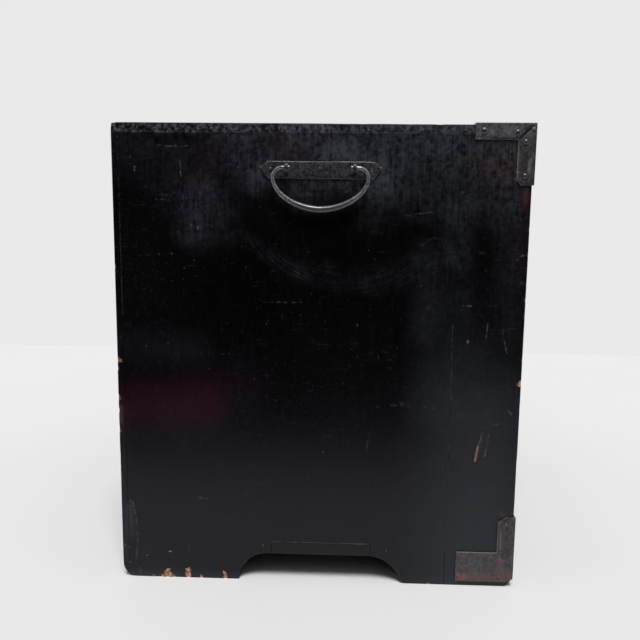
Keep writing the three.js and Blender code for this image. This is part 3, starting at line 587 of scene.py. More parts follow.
FRONT_CLOUDS = {
    "pores": (640.0, 2.0, 0.6), "drift": (11.0, 3.0, 0.5), "mottle": (150.0, 4.0, 0.7),
    "specks": (260.0, 1.0, 0.5),
}
FRONT_STEPS = {
    "rings": (0.15, 0.95), "pores": (0.3, 0.7, 0.55, 1.0), "aged": (0.4, 0.8, 0.0, 0.45),
    "rubbed": (0.33, 0.55), "specks": (0.78, 0.80, 0.0, 0.4), "gloss": (0.3, 0.7, 0.20, 0.30),
}
FRONT_GRAIN = (0.04, 1.0, 1.0)
FRONT_RINGS = {
    "Scale": 24.0, "Distortion": 9.0, "Detail": 4.0, "Detail Scale": 1.3, "Detail Roughness": 0.55,
}
FRONT_RING_STRETCH = (0.16, 0.2, 1.0)
FRONT_RING_TURN = (0.0, 0.035, 0.0)
PORE_DEPTH = 0.07 * MM
RING_DEPTH = 0.08 * MM


def brown_lacquer(name):
    """See-through brown lacquer over the grain of the drawer fronts and the door"""
    coat = Coat(name, FRONT_CLOUDS, FRONT_STEPS)
    tint = colours()
    rings = coat.rings("Z", FRONT_RING_STRETCH, FRONT_RINGS, FRONT_RING_TURN)
    pores, drift = coat.cloud("pores", FRONT_GRAIN), coat.cloud("drift")
    ragged = coat.times(coat.maths("POWER", coat.mark("arris"), ARRIS_FALL), coat.cloud("mottle"))
    base = coat.blend(
        coat.times(coat.step("rings", rings), coat.step("pores", pores)), tint.front, tint.front_grain,
    )
    base = coat.blend(coat.step("aged", drift), base, tint.front_aged)
    base = coat.blend(coat.step("rubbed", ragged), base, tint.front_rubbed)
    base = coat.blend(coat.step("specks", coat.cloud("specks")), base, tint.haze)
    coat.paint(
        Base_Color=base, Roughness=coat.step("gloss", drift), Specular_IOR_Level=LACQUER_SPECULAR,
        Normal=coat.bump((pores, PORE_DEPTH), (rings, RING_DEPTH)),
    )


TIMBER_GRAIN = {"X": (0.12, 1.0, 1.0), "Y": (1.0, 0.12, 1.0)}
TIMBER_CLOUDS = {"pores": (500.0, 3.0, 0.6), "stain": (8.0, 3.0, 0.5)}
TIMBER_STEPS = {
    "rings": (0.2, 1.0, 0.0, 0.8), "pores": (0.55, 0.75, 0.0, 0.4), "stain": (0.45, 0.8, 0.0, 0.5),
    "grime": (0.85, 1.0, 0.0, 0.45), "gloss": (0.3, 0.7, 0.6, 0.78),
}
TIMBER_RINGS = {
    "Scale": 30.0, "Distortion": 7.0, "Detail": 3.0, "Detail Scale": 1.2, "Detail Roughness": 0.5,
}
TIMBER_PORE_DEPTH = 0.12 * MM


def bare_timber(name, grain_axis):
    """Plain light wood with its grain, for the drawers' insides"""
    coat = Coat(name, TIMBER_CLOUDS, TIMBER_STEPS)
    tint = colours()
    along = TIMBER_GRAIN[grain_axis]
    rings = coat.rings("DIAGONAL", along, TIMBER_RINGS)
    pores, stain = coat.cloud("pores", along), coat.cloud("stain")
    base = coat.blend(coat.step("rings", rings), tint.timber, tint.timber_grain)
    base = coat.blend(coat.step("pores", pores), base, tint.timber_pores)
    base = coat.blend(coat.step("stain", stain), base, tint.timber_stain)
    base = coat.blend(coat.step("grime", coat.mark("arris")), base, tint.timber_grime)
    normal = coat.bump((pores, TIMBER_PORE_DEPTH), (rings, RING_DEPTH))
    coat.paint(Base_Color=base, Roughness=coat.step("gloss", stain), Normal=normal)


IRON_CLOUDS = {"patches": (85.0, 5.0, 0.65), "pits": (800.0, 3.0, 0.65), "scale": (300.0, 4.0, 0.70)}
IRON_STEPS = {
    "ragged": (0.3, 0.6, 0.35, 1.0), "rusty scale": (0.25, 0.7, 0.3, 0.9), "damp": (0.022, 0.007),
    "damp patches": (0.3, 0.6, 0.4, 1.0), "eaten": (0.3, 0.6, 1.0, 0.45), "rusty pits": (0.3, 0.6, 0.7, 1.1),
    "bright rust": (0.75, 1.7), "tone": (0.36, 0.66), "dusty top": (0.484, 0.490, 0.0, 0.4),
    "dusty scale": (0.6, 0.4), "polish_and_highlight": (0.3, 0.55, 1.2, 0.4), "worn": (0.35, 0.95),
    "deep pits": (0.60, 0.74, 0.0, 0.7), "bright pits": (0.34, 0.24, 0.0, 0.4),
    "gloss": (0.3, 0.7, 0.44, 0.58), "metal": (0.0, 1.0, 1.0, 0.15),
}
# Where rust starts and is full when the rust setting is nought, and how much sooner when it is one
RUST_LEVELS = (0.60, 0.86)
RUST_SOONER = 0.3
# How much lighter and darker than its tone fully mottled iron is
MOTTLED_LIGHTER = 0.3
MOTTLED_DARKER = -0.6
WORN_SMOOTHS = 0.2
RUST_DULLS = 0.22
SCALE_DEPTH = 0.22 * MM
PIT_DEPTH = 0.10 * MM


def wrought_iron(name, rusty=0.25, polish=0.0, tone=1.0, metallic=0.8, mottled=1.0, worn=0.5):
    """Dark hammered iron: rust in patches and near the floor, dust near the top, edges worn bright"""
    coat = Coat(name, IRON_CLOUDS, IRON_STEPS)
    tint = colours()
    patches, pits, scale = (coat.cloud(kind) for kind in ("patches", "pits", "scale"))
    height = coat.parts(coat.place)["Z"]
    ragged = coat.times(coat.mark("arris"), coat.step("ragged", scale))
    start, end = (level - RUST_SOONER * rusty for level in RUST_LEVELS)
    rust = coat.plus(
        coat.times(coat.ramp(patches, start, end), coat.step("rusty scale", scale)),
        coat.times(coat.step("damp", height), coat.step("damp patches", patches)), clamp=True,
    )
    warm = coat.mark("warm")
    eaten = coat.times(warm, coat.step("eaten", scale), clamp=True)
    bright_rust = coat.step("bright rust", coat.times(warm, coat.step("rusty pits", pits)))
    light, dark = (
        [min(1.0, (1.0 + change * mottled) * tone * part) for part in tint.iron]
        for change in (MOTTLED_LIGHTER, MOTTLED_DARKER)
    )
    base = coat.blend(coat.step("tone", scale), light, dark)
    dust = coat.times(coat.step("dusty top", height), coat.step("dusty scale", scale))
    base = coat.blend(dust, base, tint.iron_dust)
    base = coat.blend(coat.maths("MAXIMUM", rust, eaten), base, tint.rust)
    base = coat.blend(bright_rust, base, tint.bright_rust)
    # Polished places, and the painted highlights along the top edges of the straps and the carrying plate
    polish_and_highlight = coat.times(coat.mark("scuff"), coat.step("polish_and_highlight", scale), clamp=True)
    rubbed = coat.maths("MAXIMUM", coat.times(coat.step("worn", ragged), worn), polish_and_highlight)
    base = coat.blend(rubbed, base, tint.rubbed_iron_and_highlight)
    base = coat.blend(coat.times(coat.step("deep pits", pits), mottled), base, tint.iron_pits)
    base = coat.blend(coat.times(coat.step("bright pits", pits), mottled), base, tint.rubbed_iron_and_highlight)
    # The dark attribute paints shade into creases and a shadow line under the strap's edge
    base = coat.blend(coat.mark("dark"), base, tint.iron_dark_and_shade)
    rough = coat.maths("SUBTRACT", coat.step("gloss", scale), polish, coat.times(ragged, WORN_SMOOTHS * worn))
    rough = coat.plus(rough, coat.times(rust, RUST_DULLS), clamp=True)
    metal = coat.times(coat.step("metal", rust), metallic)
    normal = coat.bump((scale, SCALE_DEPTH * mottled), (pits, PIT_DEPTH * mottled))
    coat.paint(Base_Color=base, Roughness=rough, Metallic=metal, Normal=normal)


FINISHES = {
    "lacquer_top": (lacquer, dict(grain_axis="X", dusty=0.22, dusty_from=0.4988, scratched=2.0)),
    "lacquer_upright": (lacquer, dict(grain_axis="Z", scratched=1.25)),
    "lacquer_level": (lacquer, dict(grain_axis="X", dusty=0.13)),
    "lacquer_back": (lacquer, dict(grain_axis="X", dusty=0.5, scratched=3.0, thin_coat=0.6)),
    "lacquer_right": (lacquer, dict(grain_axis="Z", dusty=0.30, scratched=2.0, thin_coat=0.12)),
    "chipped_wood": (chipped_wood, {}),
    "brown_lacquer": (brown_lacquer, {}),
    "timber_across": (bare_timber, dict(grain_axis="X")),
    "timber_deep": (bare_timber, dict(grain_axis="Y")),
    "upper_iron": (wrought_iron, dict(rusty=0.46, tone=1.4, metallic=0.6, mottled=1.35, worn=0.9)),
    "strap_iron": (wrought_iron, dict(rusty=0.57, tone=1.25, metallic=0.5, mottled=0.85, worn=0.4)),
    "plate_iron": (wrought_iron, dict(rusty=0.12, tone=1.12, metallic=0.6, mottled=1.45, worn=0.8)),
    "post_iron": (wrought_iron, dict(rusty=0.5, tone=0.6, worn=0.1)),
    # The bail's worn share also carries the painted highlight on the sides of its bow
    "bail_iron": (
        wrought_iron, dict(rusty=0.0, polish=0.14, tone=1.95, metallic=0.6, mottled=0.25, worn=0.75),
    ),
    "nail_iron": (wrought_iron, dict(rusty=0.05, polish=0.18, tone=2.2, mottled=0.5)),
}


def finish(name):
    """A finish, made the first time that it is asked for"""
    if name not in bpy.data.materials:
        make, settings = FINISHES[name]
        make(name, **settings)
    return bpy.data.materials[name]


# Shaping

FLAT = math.radians(1.0)
SHARP = math.radians(28.0)
ARRIS = math.radians(12.0)
BOARD_SHADE = math.radians(14.0)
SHEET_SHADE = math.radians(30.0)
POST_SHADE = math.radians(34.0)
BAIL_SHADE = math.radians(50.0)
MERGE_GAP = 1e-6
# How near to a joined piece an edge can't wear, and how near two pieces count as joined
JOINT_REACH = 0.6 * MM
NEIGHBOUR_REACH = 1.0 * MM
# Edges shorter than this many times the rounding are left sharp, and so are the edges that meet them
SHORT_EDGE = 2.2
ROUND_STEPS = 2
ROUND_PROFILE = 0.5


def body_of(node):
    """The body that a CAD node belongs to"""
    parent = frame["nodes"][node].parent
    return next(name for name, empty in frame["bodies"].items() if empty == parent)


def whole_copy(node):
    """A merged copy of a CAD node's mesh, its flat faces made whole again"""
    mesh = bmesh.new()
    mesh.from_mesh(frame["nodes"][node].data)
    bmesh.ops.remove_doubles(mesh, verts=mesh.verts, dist=MERGE_GAP)
    bmesh.ops.dissolve_limit(mesh, angle_limit=FLAT, verts=mesh.verts, edges=mesh.edges)
    return mesh


def joined_pieces(node):
    """The shapes of the pieces on the same body that lie against a piece"""
    low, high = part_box(node)
    trees = []
    for name, other in frame["nodes"].items():
        if name == node or other.parent != frame["nodes"][node].parent:
            continue
        start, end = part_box(name)
        if all(
            start[axis] < high[axis] + NEIGHBOUR_REACH and end[axis] > low[axis] - NEIGHBOUR_REACH
            for axis in range(3)
        ):
            points = [point.co for point in other.data.vertices]
            trees.append(BVHTree.FromPolygons(points, [face.vertices for face in other.data.polygons]))
    return trees


def in_joint(place, joined):
    """Whether a place lies in a joint, where no hand or foot can wear it"""
    return any(tree.find_nearest(place, JOINT_REACH)[0] is not None for tree in joined)


def round_edges(mesh, width, joined=()):
    """Rounds the outer edges of a piece, but for those in a joint or beside a very short one"""
    tight = {point for edge in mesh.edges if edge.calc_length() < SHORT_EDGE * width for point in edge.verts}
    sharp = [
        edge for edge in mesh.edges
        if edge.calc_face_angle_signed(0.0) > SHARP and tight.isdisjoint(edge.verts)
        and not in_joint((edge.verts[0].co + edge.verts[1].co) / 2, joined)
    ]
    bmesh.ops.bevel(
        mesh, geom=sharp, offset=width, offset_type="OFFSET", segments=ROUND_STEPS, profile=ROUND_PROFILE,
        affect="EDGES", clamp_overlap=False,
    )


def slice_up(mesh, cell):
    """Cuts the faces into cells, so that they can be worn or hammered out of true"""
    low = [min(point.co[axis] for point in mesh.verts) for axis in range(3)]
    high = [max(point.co[axis] for point in mesh.verts) for axis in range(3)]
    for axis, normal in enumerate((SIDES[1], REARWARD, UP)):
        count = int((high[axis] - low[axis]) / cell)
        for index in range(1, count):
            place = low[axis] + (high[axis] - low[axis]) * index / count
            bmesh.ops.bisect_plane(
                mesh, geom=mesh.verts[:] + mesh.edges[:] + mesh.faces[:], dist=MERGE_GAP,
                plane_co=normal * place, plane_no=normal,
            )


# Finer cells: their size, the widest mark that needs them in millimetres, how squarely a face has to look
# out of the end and how deep it may lie, and how far beyond a mark they reach as a share of a coarse cell
FINE = 0.8 * MM
NARROW_MARK = 6.0
FACES_OUT = 0.95
FACE_DEPTH = 0.3 * MM
FINE_BEYOND = 0.75
# How deep under the end's face a point still carries its marks
MARKED_DEPTH = 2.6 * MM
# Keeps a mark without any length from dividing by nought
SHORTEST_MARK = 1e-9


def mark_gap(run, height, mark):
    """How far places on the photographed end lie from the line of a mark, in millimetres"""
    start_run, start_height, end_run, end_height = mark[:4]
    along, rise = end_run - start_run, end_height - start_height
    square = max(along * along + rise * rise, SHORTEST_MARK)
    share = numpy.clip(((run - start_run) * along + (height - start_height) * rise) / square, 0.0, 1.0)
    return numpy.hypot(run - start_run - along * share, height - start_height - rise * share)


def refine_marks(mesh, cell, table):
    """Finer cells on the photographed end wherever a narrow mark crosses it"""
    faces = [
        face for face in mesh.faces
        if face.normal.x <= -FACES_OUT and len(face.verts) == 4
        and face.calc_center_median().x <= LEFT + FACE_DEPTH
    ]
    middles = numpy.array([face.calc_center_median() for face in faces]).reshape(-1, 3)
    run, height = (middles[:, 1] - FRONT) / MM, middles[:, 2] / MM
    crossed = numpy.zeros(len(faces), dtype=bool)
    for marks in table.values():
        for mark in marks:
            half_width = mark[4]
            if half_width < NARROW_MARK:
                crossed |= mark_gap(run, height, mark) < half_width + FINE_BEYOND * cell / MM
    edges = {
        edge: None for face, hit in zip(faces, crossed) if hit
        for edge in face.edges if edge.calc_length() > 2 * FINE
    }
    bmesh.ops.subdivide_edges(mesh, edges=list(edges), cuts=int(cell / FINE), use_grid_fill=True)


def lay_marks(data, table):
    """Writes how strongly each point of a piece carries the marks of the photographed end"""
    count = len(data.vertices)
    places = numpy.empty(count * 3, dtype=numpy.float32)
    data.vertices.foreach_get("co", places)
    places = places.reshape(-1, 3)
    outside = places[:, 0] < LEFT + MARKED_DEPTH
    run, height = (places[:, 1] - FRONT) / MM, places[:, 2] / MM
    for name, marks in table.items():
        total = numpy.zeros(count)
        for mark in marks:
            half_width, strength = mark[4:]
            near = numpy.clip(1.0 - mark_gap(run, height, mark) / half_width, 0.0, 1.0)
            total += strength * near * near * (3.0 - 2.0 * near)
        layer = data.attributes.new(name, "FLOAT", "POINT")
        layer.data.foreach_set("value", (total * outside).astype(numpy.float32))


def mark_arris(mesh, joined=()):
    """Which points lie on a free edge of the piece, kept as the attribute that the finishes read"""
    mesh.normal_update()
    layer = mesh.verts.layers.float.new("arris")
    limit = math.cos(ARRIS)
    for point in mesh.verts:
        flat = all(face.normal.dot(point.normal) > limit for face in point.link_faces)
        point[layer] = 0.0 if flat or in_joint(point.co, joined) else 1.0
    return layer


# The top corner that is knocked off at the back: how round it is and how far in it fades out
CORNER_BLUNT = 4.2 * MM
CORNER_RUN = 16.0 * MM


def blunt_corner(mesh):
    """Rounds the top corner that is knocked off at the back of the photographed end"""
    for point in mesh.verts:
        reach = CORNER_BLUNT * (1.0 - (point.co.x - LEFT) / CORNER_RUN)
        middle = Vector((point.co.x, BACK - reach, TOP - reach))
        out = point.co - middle
        if reach > 0.0 and out.y > 0.0 and out.z > 0.0 and out.length > reach:
            point.co = middle + out * (reach / out.length)


# Waves a metre of the slow wear, the nicks and the unevenness of the faces, and a step that sets the
# noise of one board apart from the next
SLOW_WEAR = 24.0
NICK_WAVES = 130.0
FACE_WAVES = 14.0
WEAR_STEP = (3.7, 1.3, 2.1)
LEAST_WEAR = 0.15
NICK_FROM = 0.30
NICK_GAIN = 1.6
FACE_UNEVEN = 0.1 * MM


def noise_share(place):
    """Noise between nought and one"""
    return noise.noise(place) * 0.5 + 0.5


def wear_down(mesh, wear, nick, seed, joined):
    """Wears the edges back unevenly, with small nicks, and leaves the faces a little uneven"""
    layer = mark_arris(mesh, joined)
    shift = Vector([seed * step for step in WEAR_STEP])
    moves = []
    for point in mesh.verts:
        place = point.co + shift
        if point[layer]:
            slow = noise_share(place * SLOW_WEAR)
            quick = max(0.0, noise.noise(place * NICK_WAVES) - NICK_FROM)
            depth = wear * (LEAST_WEAR + (1.0 - LEAST_WEAR) * slow * slow) + nick * quick * NICK_GAIN
        else:
            depth = FACE_UNEVEN * noise_share(place * FACE_WAVES)
        moves.append((point, point.normal * -depth))
    for point, move in moves:
        point.co += move
        point.co.z = max(point.co.z, 0.0)


# Waves a metre of the broad and the small hammer marks, and how deep the small ones are as a share
BROAD_BLOWS = 70.0
SMALL_BLOWS = 190.0
SMALL_DEPTH = 0.5
HAMMER_STEP = (1.9, 2.3, 0.7)


def hammer_out(mesh, depth, seed):
    """Leaves a piece of iron a little out of true"""
    mark_arris(mesh)
    shift = Vector([seed * step for step in HAMMER_STEP])
    moves = []
    for point in mesh.verts:
        place = point.co + shift
        blow = noise.noise(place * BROAD_BLOWS) + SMALL_DEPTH * noise.noise(place * SMALL_BLOWS)
        moves.append((point, point.normal * (depth * blow)))
    for point, move in moves:
        point.co += move


def add_object(name, data):
    """An object in the scene"""
    made = bpy.data.objects.new(name, data)
    bpy.context.scene.collection.objects.link(made)
    return made


def add_mesh(mesh, name, *materials, shade=BOARD_SHADE):
    """An object at the origin from a finished mesh, with its finishes, shaded smooth up to an angle"""
    data = bpy.data.meshes.new(name)
    mesh.to_mesh(data)
    mesh.free()
    for material in materials:
        data.materials.append(finish(material))
    data.polygons.foreach_set("use_smooth", [True] * len(data.polygons))
    data.set_sharp_from_angle(angle=shade)
    return add_object(name, data)


def evaluated_mesh(made):
    """The mesh of an object with its modifiers applied"""
    graph = bpy.context.evaluated_depsgraph_get()
    return bpy.data.meshes.new_from_object(made.evaluated_get(graph), depsgraph=graph)


def settle(made, body, slot, *nodes):
    """Puts a piece on its body, in place of its CAD nodes"""
    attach(made, body)
    if nodes:
        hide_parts(*nodes)


# Hollows in the photographed end, in millimetres: from front, height, half run, half height and depth
CHIPS = (
    (384.6, 3, 3.8, 3.8, 1.2), (377.4, 1.2, 2.6, 1.8, 0.8), (390.6, 1.2, 1.8, 1.4, 0.7),
    (361.6, 3.6, 2.9, 4.6, 1.3), (360.6, 10.2, 1.4, 2, 0.6), (347, 1.2, 1.6, 1.6, 1),
    (319.5, 2.2, 2.1, 4, 1.1), (91, 0.4, 1.6, 1.2, 0.8), (0.8, 231.5, 1.8, 3.6, 1.4),
    (435.6, 351, 1, 2.4, 1), (435.6, 249, 1.5, 2.4, 1.5), (435.6, 240.6, 1, 1.8, 1),
)
# Older nicks in its edges, lacquered over
NICKS = (
    (435.8, 208, 0.9, 6, 1), (435.8, 172, 0.9, 5, 1), (0.4, 395, 1.2, 2.6, 1.2),
    (0.4, 368, 1.2, 2.4, 1.2), (0.3, 338, 1, 2, 1), (0.3, 322, 1.2, 2.2, 1), (0.2, 303, 1, 1.8, 1),
    (0.2, 257, 1.1, 2.2, 1.1), (0.2, 203, 1.2, 3, 1.2),
)
# An empty nail hole and a notch in its carrying plate
PLATE_HOLES = (
    (165.1, 453.2, 0.85, 0.85, 3.2), (156.4, 455.4, 1.3, 1, 3.2),
)
# How ragged the hollows are as a share of their size, and how near to a piece they are still cut. Then the
# noise of a lump: its waves, a step from one lump to the next and a fixed shift
CHIP_RAGGED = 0.42
HOLE_RAGGED = 0.25
LUMP_REACH = 3.0 * MM
LUMP_WAVES = 2.6
LUMP_STEP = 7.1
LUMP_SHIFT = 3.0


def rough_lumps(places, low, high, ragged):
    """A rough lump for each chip, nick or hole that lies within reach of a piece"""
    for number, ((run, height, half_run, half_height, depth), lining) in enumerate(places):
        centre = on_left_end(run, height)
        if not all(low[axis] - LUMP_REACH < centre[axis] < high[axis] + LUMP_REACH for axis in range(3)):
            continue
        lump = bmesh.new()
        bmesh.ops.create_icosphere(lump, subdivisions=3, radius=1.0)
        scale = Vector((depth, half_run, half_height)) * MM
        shift = Vector((number * LUMP_STEP, 0.0, LUMP_SHIFT))
        for point in lump.verts:
            rough = 1.0 + ragged * noise.noise(point.co * LUMP_WAVES + shift)
            point.co = centre + Vector([part * size * rough for part, size in zip(point.co, scale)])
        yield add_mesh(lump, f"lump_{number}", lining)


def carve(mesh, node, material, places, ragged):
    """Cuts rough lumps out of a piece; each place comes with the finish inside its hollow"""
    lumps = list(rough_lumps(places, *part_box(node), ragged))
    if not lumps:
        return mesh
    piece = add_mesh(mesh, node + "_uncut", material)
    for lump in lumps:
        modifier = piece.modifiers.new(lump.name, "BOOLEAN")
        modifier.operation = "DIFFERENCE"
        modifier.solver = "EXACT"
        modifier.material_mode = "TRANSFER"
        modifier.object = lump
    data = evaluated_mesh(piece)
    cut = bmesh.new()
    cut.from_mesh(data)
    for spare in (piece, *lumps):
        bpy.data.objects.remove(spare)
    bpy.data.meshes.remove(data)
    return cut


def wear_board(node, material, slot, seed):
    """A worn board in place of a CAD board"""
    size = sizes()
    mesh = whole_copy(node)
    joined = joined_pieces(node)
    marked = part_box(node)[0].x < LEFT + MM
    round_edges(mesh, size.arris, joined)
    if marked:
        hollows = [(chip, "chipped_wood") for chip in CHIPS] + [(nick, material) for nick in NICKS]
        mesh = carve(mesh, node, material, hollows, CHIP_RAGGED)
    slice_up(mesh, size.cell)
    if marked:
        refine_marks(mesh, size.cell, MARKS)
        blunt_corner(mesh)
    wear_down(mesh, size.wear, size.nick, seed, joined)
    made = add_mesh(mesh, node + "_worn", material, "chipped_wood")
    if marked:
        lay_marks(made.data, MARKS)
    settle(made, body_of(node), slot, node)


def wear_boards(slot, seed, boards):
    """Worn boards in place of CAD boards, each with its finish and a seed of its own"""
    for number, (node, material) in enumerate(boards.items()):
        wear_board(node, material, slot, seed + number)


def forge_sheet(node, material, seed):
    """Hammered iron sheet in place of a CAD plate"""
    size = sizes()
    mesh = whole_copy(node)
    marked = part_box(node)[0].x < LEFT
    round_edges(mesh, size.iron_edge)
    if node == "left_carry_plate":
        mesh = carve(mesh, node, material, [(hole, material) for hole in PLATE_HOLES], HOLE_RAGGED)
    slice_up(mesh, size.iron_cell)
    if marked:
        refine_marks(mesh, size.iron_cell, IRON_MARKS)
    hammer_out(mesh, size.hammer, seed)
    made = add_mesh(mesh, node + "_wrought", material, shade=SHEET_SHADE)
    if marked:
        lay_marks(made.data, IRON_MARKS)
    settle(made, body_of(node), "iron", node)


# Bails and posts

# Sizes of the two kinds of handle, in millimetres, and how full the bow is: 2 would be round
CARRY = {
    "at": 35.0, "width": 3.8, "tip": 2.1, "shoulder": 2.1, "curl": 10.2, "drop": 42.0,
    "middle": 3.5, "end": 2.1, "fullness": 1.85, "stand_off": 7.5, "eye": 4.7, "gap": 0.45,
    "shank": 3.4, "leg": 8.0, "leg_thickness": 1.6, "wall": 16.2,
}
PULL = {
    "at": 24.4, "width": 3.0, "tip": 1.5, "shoulder": 1.5, "curl": 6.6, "drop": 27.0,
    "middle": 2.5, "end": 1.6, "fullness": 1.85, "stand_off": 5.2, "eye": 3.3, "gap": 0.4,
    "shank": 2.8, "leg": 7.0, "leg_thickness": 1.3, "wall": 18.3,
}
ROD_SIDES = 20
BOW_STEPS = 22
CURL_STEPS = 9
# The peened tip: how much it is spread, where the spread starts and is full, and its rounded end
PEEN_SPREAD = 1.22
PEEN_START = 0.35
PEEN_FULL = 0.6
PEEN_ROUND = 0.45
PEEN_END = 0.72
# How uneven the hammer left the rod along its length and round it, with the waves a millimetre
ROD_UNEVEN = 0.035
ROD_WAVES = 0.13
FACET_UNEVEN = 0.03
FACET_WAVES = 0.2
FACET_SIDES = 0.7
# Where along the bow a highlight is painted on the rod's outward face, as shares of its half width, and
# how much rubbed brightness the whole rod has
SHEEN_PAINTED_FROM = 0.35
SHEEN_PAINTED_OVER = 0.45
EVEN_RUB = 0.4


def bail_course(form):
    """Half a bail from the middle of its bow to its tip: across, down and radius in millimetres"""
    inner = form["at"] - form["width"] / 2
    bend = form["at"] + form["width"] / 2 + form["shoulder"]
    widest = bend + form["curl"]
    course = []
    for step in range(BOW_STEPS):
        turn = math.pi / 2 * (1 - step / BOW_STEPS)
        across = widest * math.cos(turn) ** (2 / form["fullness"])
        down = form["curl"] + (form["drop"] - form["curl"]) * math.sin(turn) ** (2 / form["fullness"])
        share = across / widest
        course.append((across, -down, form["end"] + (form["middle"] - form["end"]) * (1 - share * share)))
    for step in range(CURL_STEPS):
        turn = math.pi / 2 * step / CURL_STEPS
        down = form["curl"] * math.sin(turn) - form["curl"]
        course.append((bend + form["curl"] * math.cos(turn), down, form["end"]))
    peen = form["end"] * PEEN_SPREAD
    tip = inner - form["tip"]
    course += [
        (bend, 0.0, form["end"]), (form["at"], 0.0, form["end"]), (inner - PEEN_START, 0.0, form["end"]),
        (inner - PEEN_FULL, 0.0, peen), (tip + PEEN_ROUND, 0.0, peen), (tip, 0.0, peen * PEEN_END),
    ]
    return course


def join_rings(mesh, first, second):
    """A band of faces between two rings of points"""
    for index in range(len(first)):
        after = (index + 1) % len(first)
        mesh.faces.new((first[index], first[after], second[after], second[index]))


def bail_mesh(form, turn, pivot, seed):
    """A forged bail with a thick bow, thin shanks and peened tips, on its pivot"""
    half = bail_course(form)
    course = [(-across, down, radius) for across, down, radius in half[:0:-1]] + half
    mesh = bmesh.new()
    layer = mesh.verts.layers.float.new("arris")
    widest = max(across for across, down, radius in half)
    rings = []
    for index, (across, down, radius) in enumerate(course):
        # Painted highlight: brighter on the rod's outward face along the sides of the bow
        painted_sheen = min(1.0, max(0.0, (abs(across) / widest - SHEEN_PAINTED_FROM) / SHEEN_PAINTED_OVER))
        before, after = course[max(index - 1, 0)], course[min(index + 1, len(course) - 1)]
        along = Vector((after[0] - before[0], 0.0, after[1] - before[1])).normalized()
        outward = Vector((-along.z, 0.0, along.x))
        uneven = noise.noise(Vector((across * ROD_WAVES + seed, down * ROD_WAVES, seed)))
        ring = []
        for side in range(ROD_SIDES):
            bearing = 2 * math.pi * side / ROD_SIDES
            facet = noise.noise(Vector((across * FACET_WAVES, side * FACET_SIDES, down * FACET_WAVES + seed)))
            thick = radius * (1.0 + ROD_UNEVEN * uneven) * (1.0 + FACET_UNEVEN * facet)
            spoke = outward * math.cos(bearing) + REARWARD * math.sin(bearing)
            place = Vector((across, -form["stand_off"], down)) + spoke * thick
            point = mesh.verts.new(pivot + turn @ (place * MM))
            point[layer] = EVEN_RUB + (1.0 - EVEN_RUB) * painted_sheen * max(0.0, -spoke.y)
            ring.append(point)
        rings.append(ring)
    for first, second in zip(rings, rings[1:]):
        join_rings(mesh, first, second)
    mesh.faces.new(rings[0][::-1])
    mesh.faces.new(rings[-1])
    bmesh.ops.recalc_face_normals(mesh, faces=mesh.faces)
    return mesh


# The post in millimetres: its eye's rounded corners and steps, how far the shank starts inside the eye's
# outside and ends beyond the wall, and the rounding of the shank and the legs
EYE_CORNER = 0.55
EYE_CORNER_STEP = math.radians(30.0)
EYE_STEPS = 36
SHANK_INSIDE = 1.2
SHANK_BEYOND = 0.4
SHANK_EDGE = 0.3


def add_block(mesh, low, high, width):
    """A block between two corners, its edges rounded"""
    made = bmesh.ops.create_cube(mesh, size=1.0)["verts"]
    centre, size = (low + high) / 2, high - low
    for point in made:
        point.co = centre + point.co * size
    edges = {edge: None for point in made for edge in point.link_edges}
    bmesh.ops.bevel(
        mesh, geom=list(edges), offset=width, segments=ROUND_STEPS, profile=ROUND_PROFILE, affect="EDGES",
    )


def post_mesh(form, side, turn, pivot):
    """A split post: a forged eye, a shank through the wall and two clenched legs"""
    mesh = bmesh.new()
    bore = form["end"] + form["gap"]
    half_width = form["width"] / 2
    middle = (bore + form["eye"]) / 2
    half_thick = (form["eye"] - bore) / 2
    section = []
    for across, out in ((1, 1), (-1, 1), (-1, -1), (1, -1)):
        for step in (-1, 0, 1):
            bearing = math.atan2(out, across) + EYE_CORNER_STEP * step
            section.append((
                across * (half_width - EYE_CORNER) + EYE_CORNER * math.cos(bearing),
                out * (half_thick - EYE_CORNER) + EYE_CORNER * math.sin(bearing),
            ))
    rings = []
    for step in range(EYE_STEPS):
        bearing = 2 * math.pi * step / EYE_STEPS
        rings.append([
            mesh.verts.new((across, (middle + out) * math.cos(bearing), (middle + out) * math.sin(bearing)))
            for across, out in section
        ])
    for ring, following in zip(rings, rings[1:] + rings[:1]):
        join_rings(mesh, ring, following)
    half_shank = form["shank"] / 2
    wall = form["stand_off"] + form["wall"]
    reach = half_shank + form["leg"]
    low = Vector((-half_width, form["eye"] - SHANK_INSIDE, -half_shank))
    add_block(mesh, low, Vector((half_width, wall + SHANK_BEYOND, half_shank)), SHANK_EDGE)
    high = Vector((half_width, wall + form["leg_thickness"], reach))
    add_block(mesh, Vector((-half_width, wall, -reach)), high, SHANK_EDGE)
    bmesh.ops.recalc_face_normals(mesh, faces=mesh.faces)
    for point in mesh.verts:
        place = point.co + Vector((form["at"] * side, -form["stand_off"], 0.0))
        point.co = pivot + turn @ (place * MM)
    return mesh


# Seeds of the bails
LEFT_CARRY_SEED = 1.0
RIGHT_CARRY_SEED = 5.0
PULL_SEED = 11.0


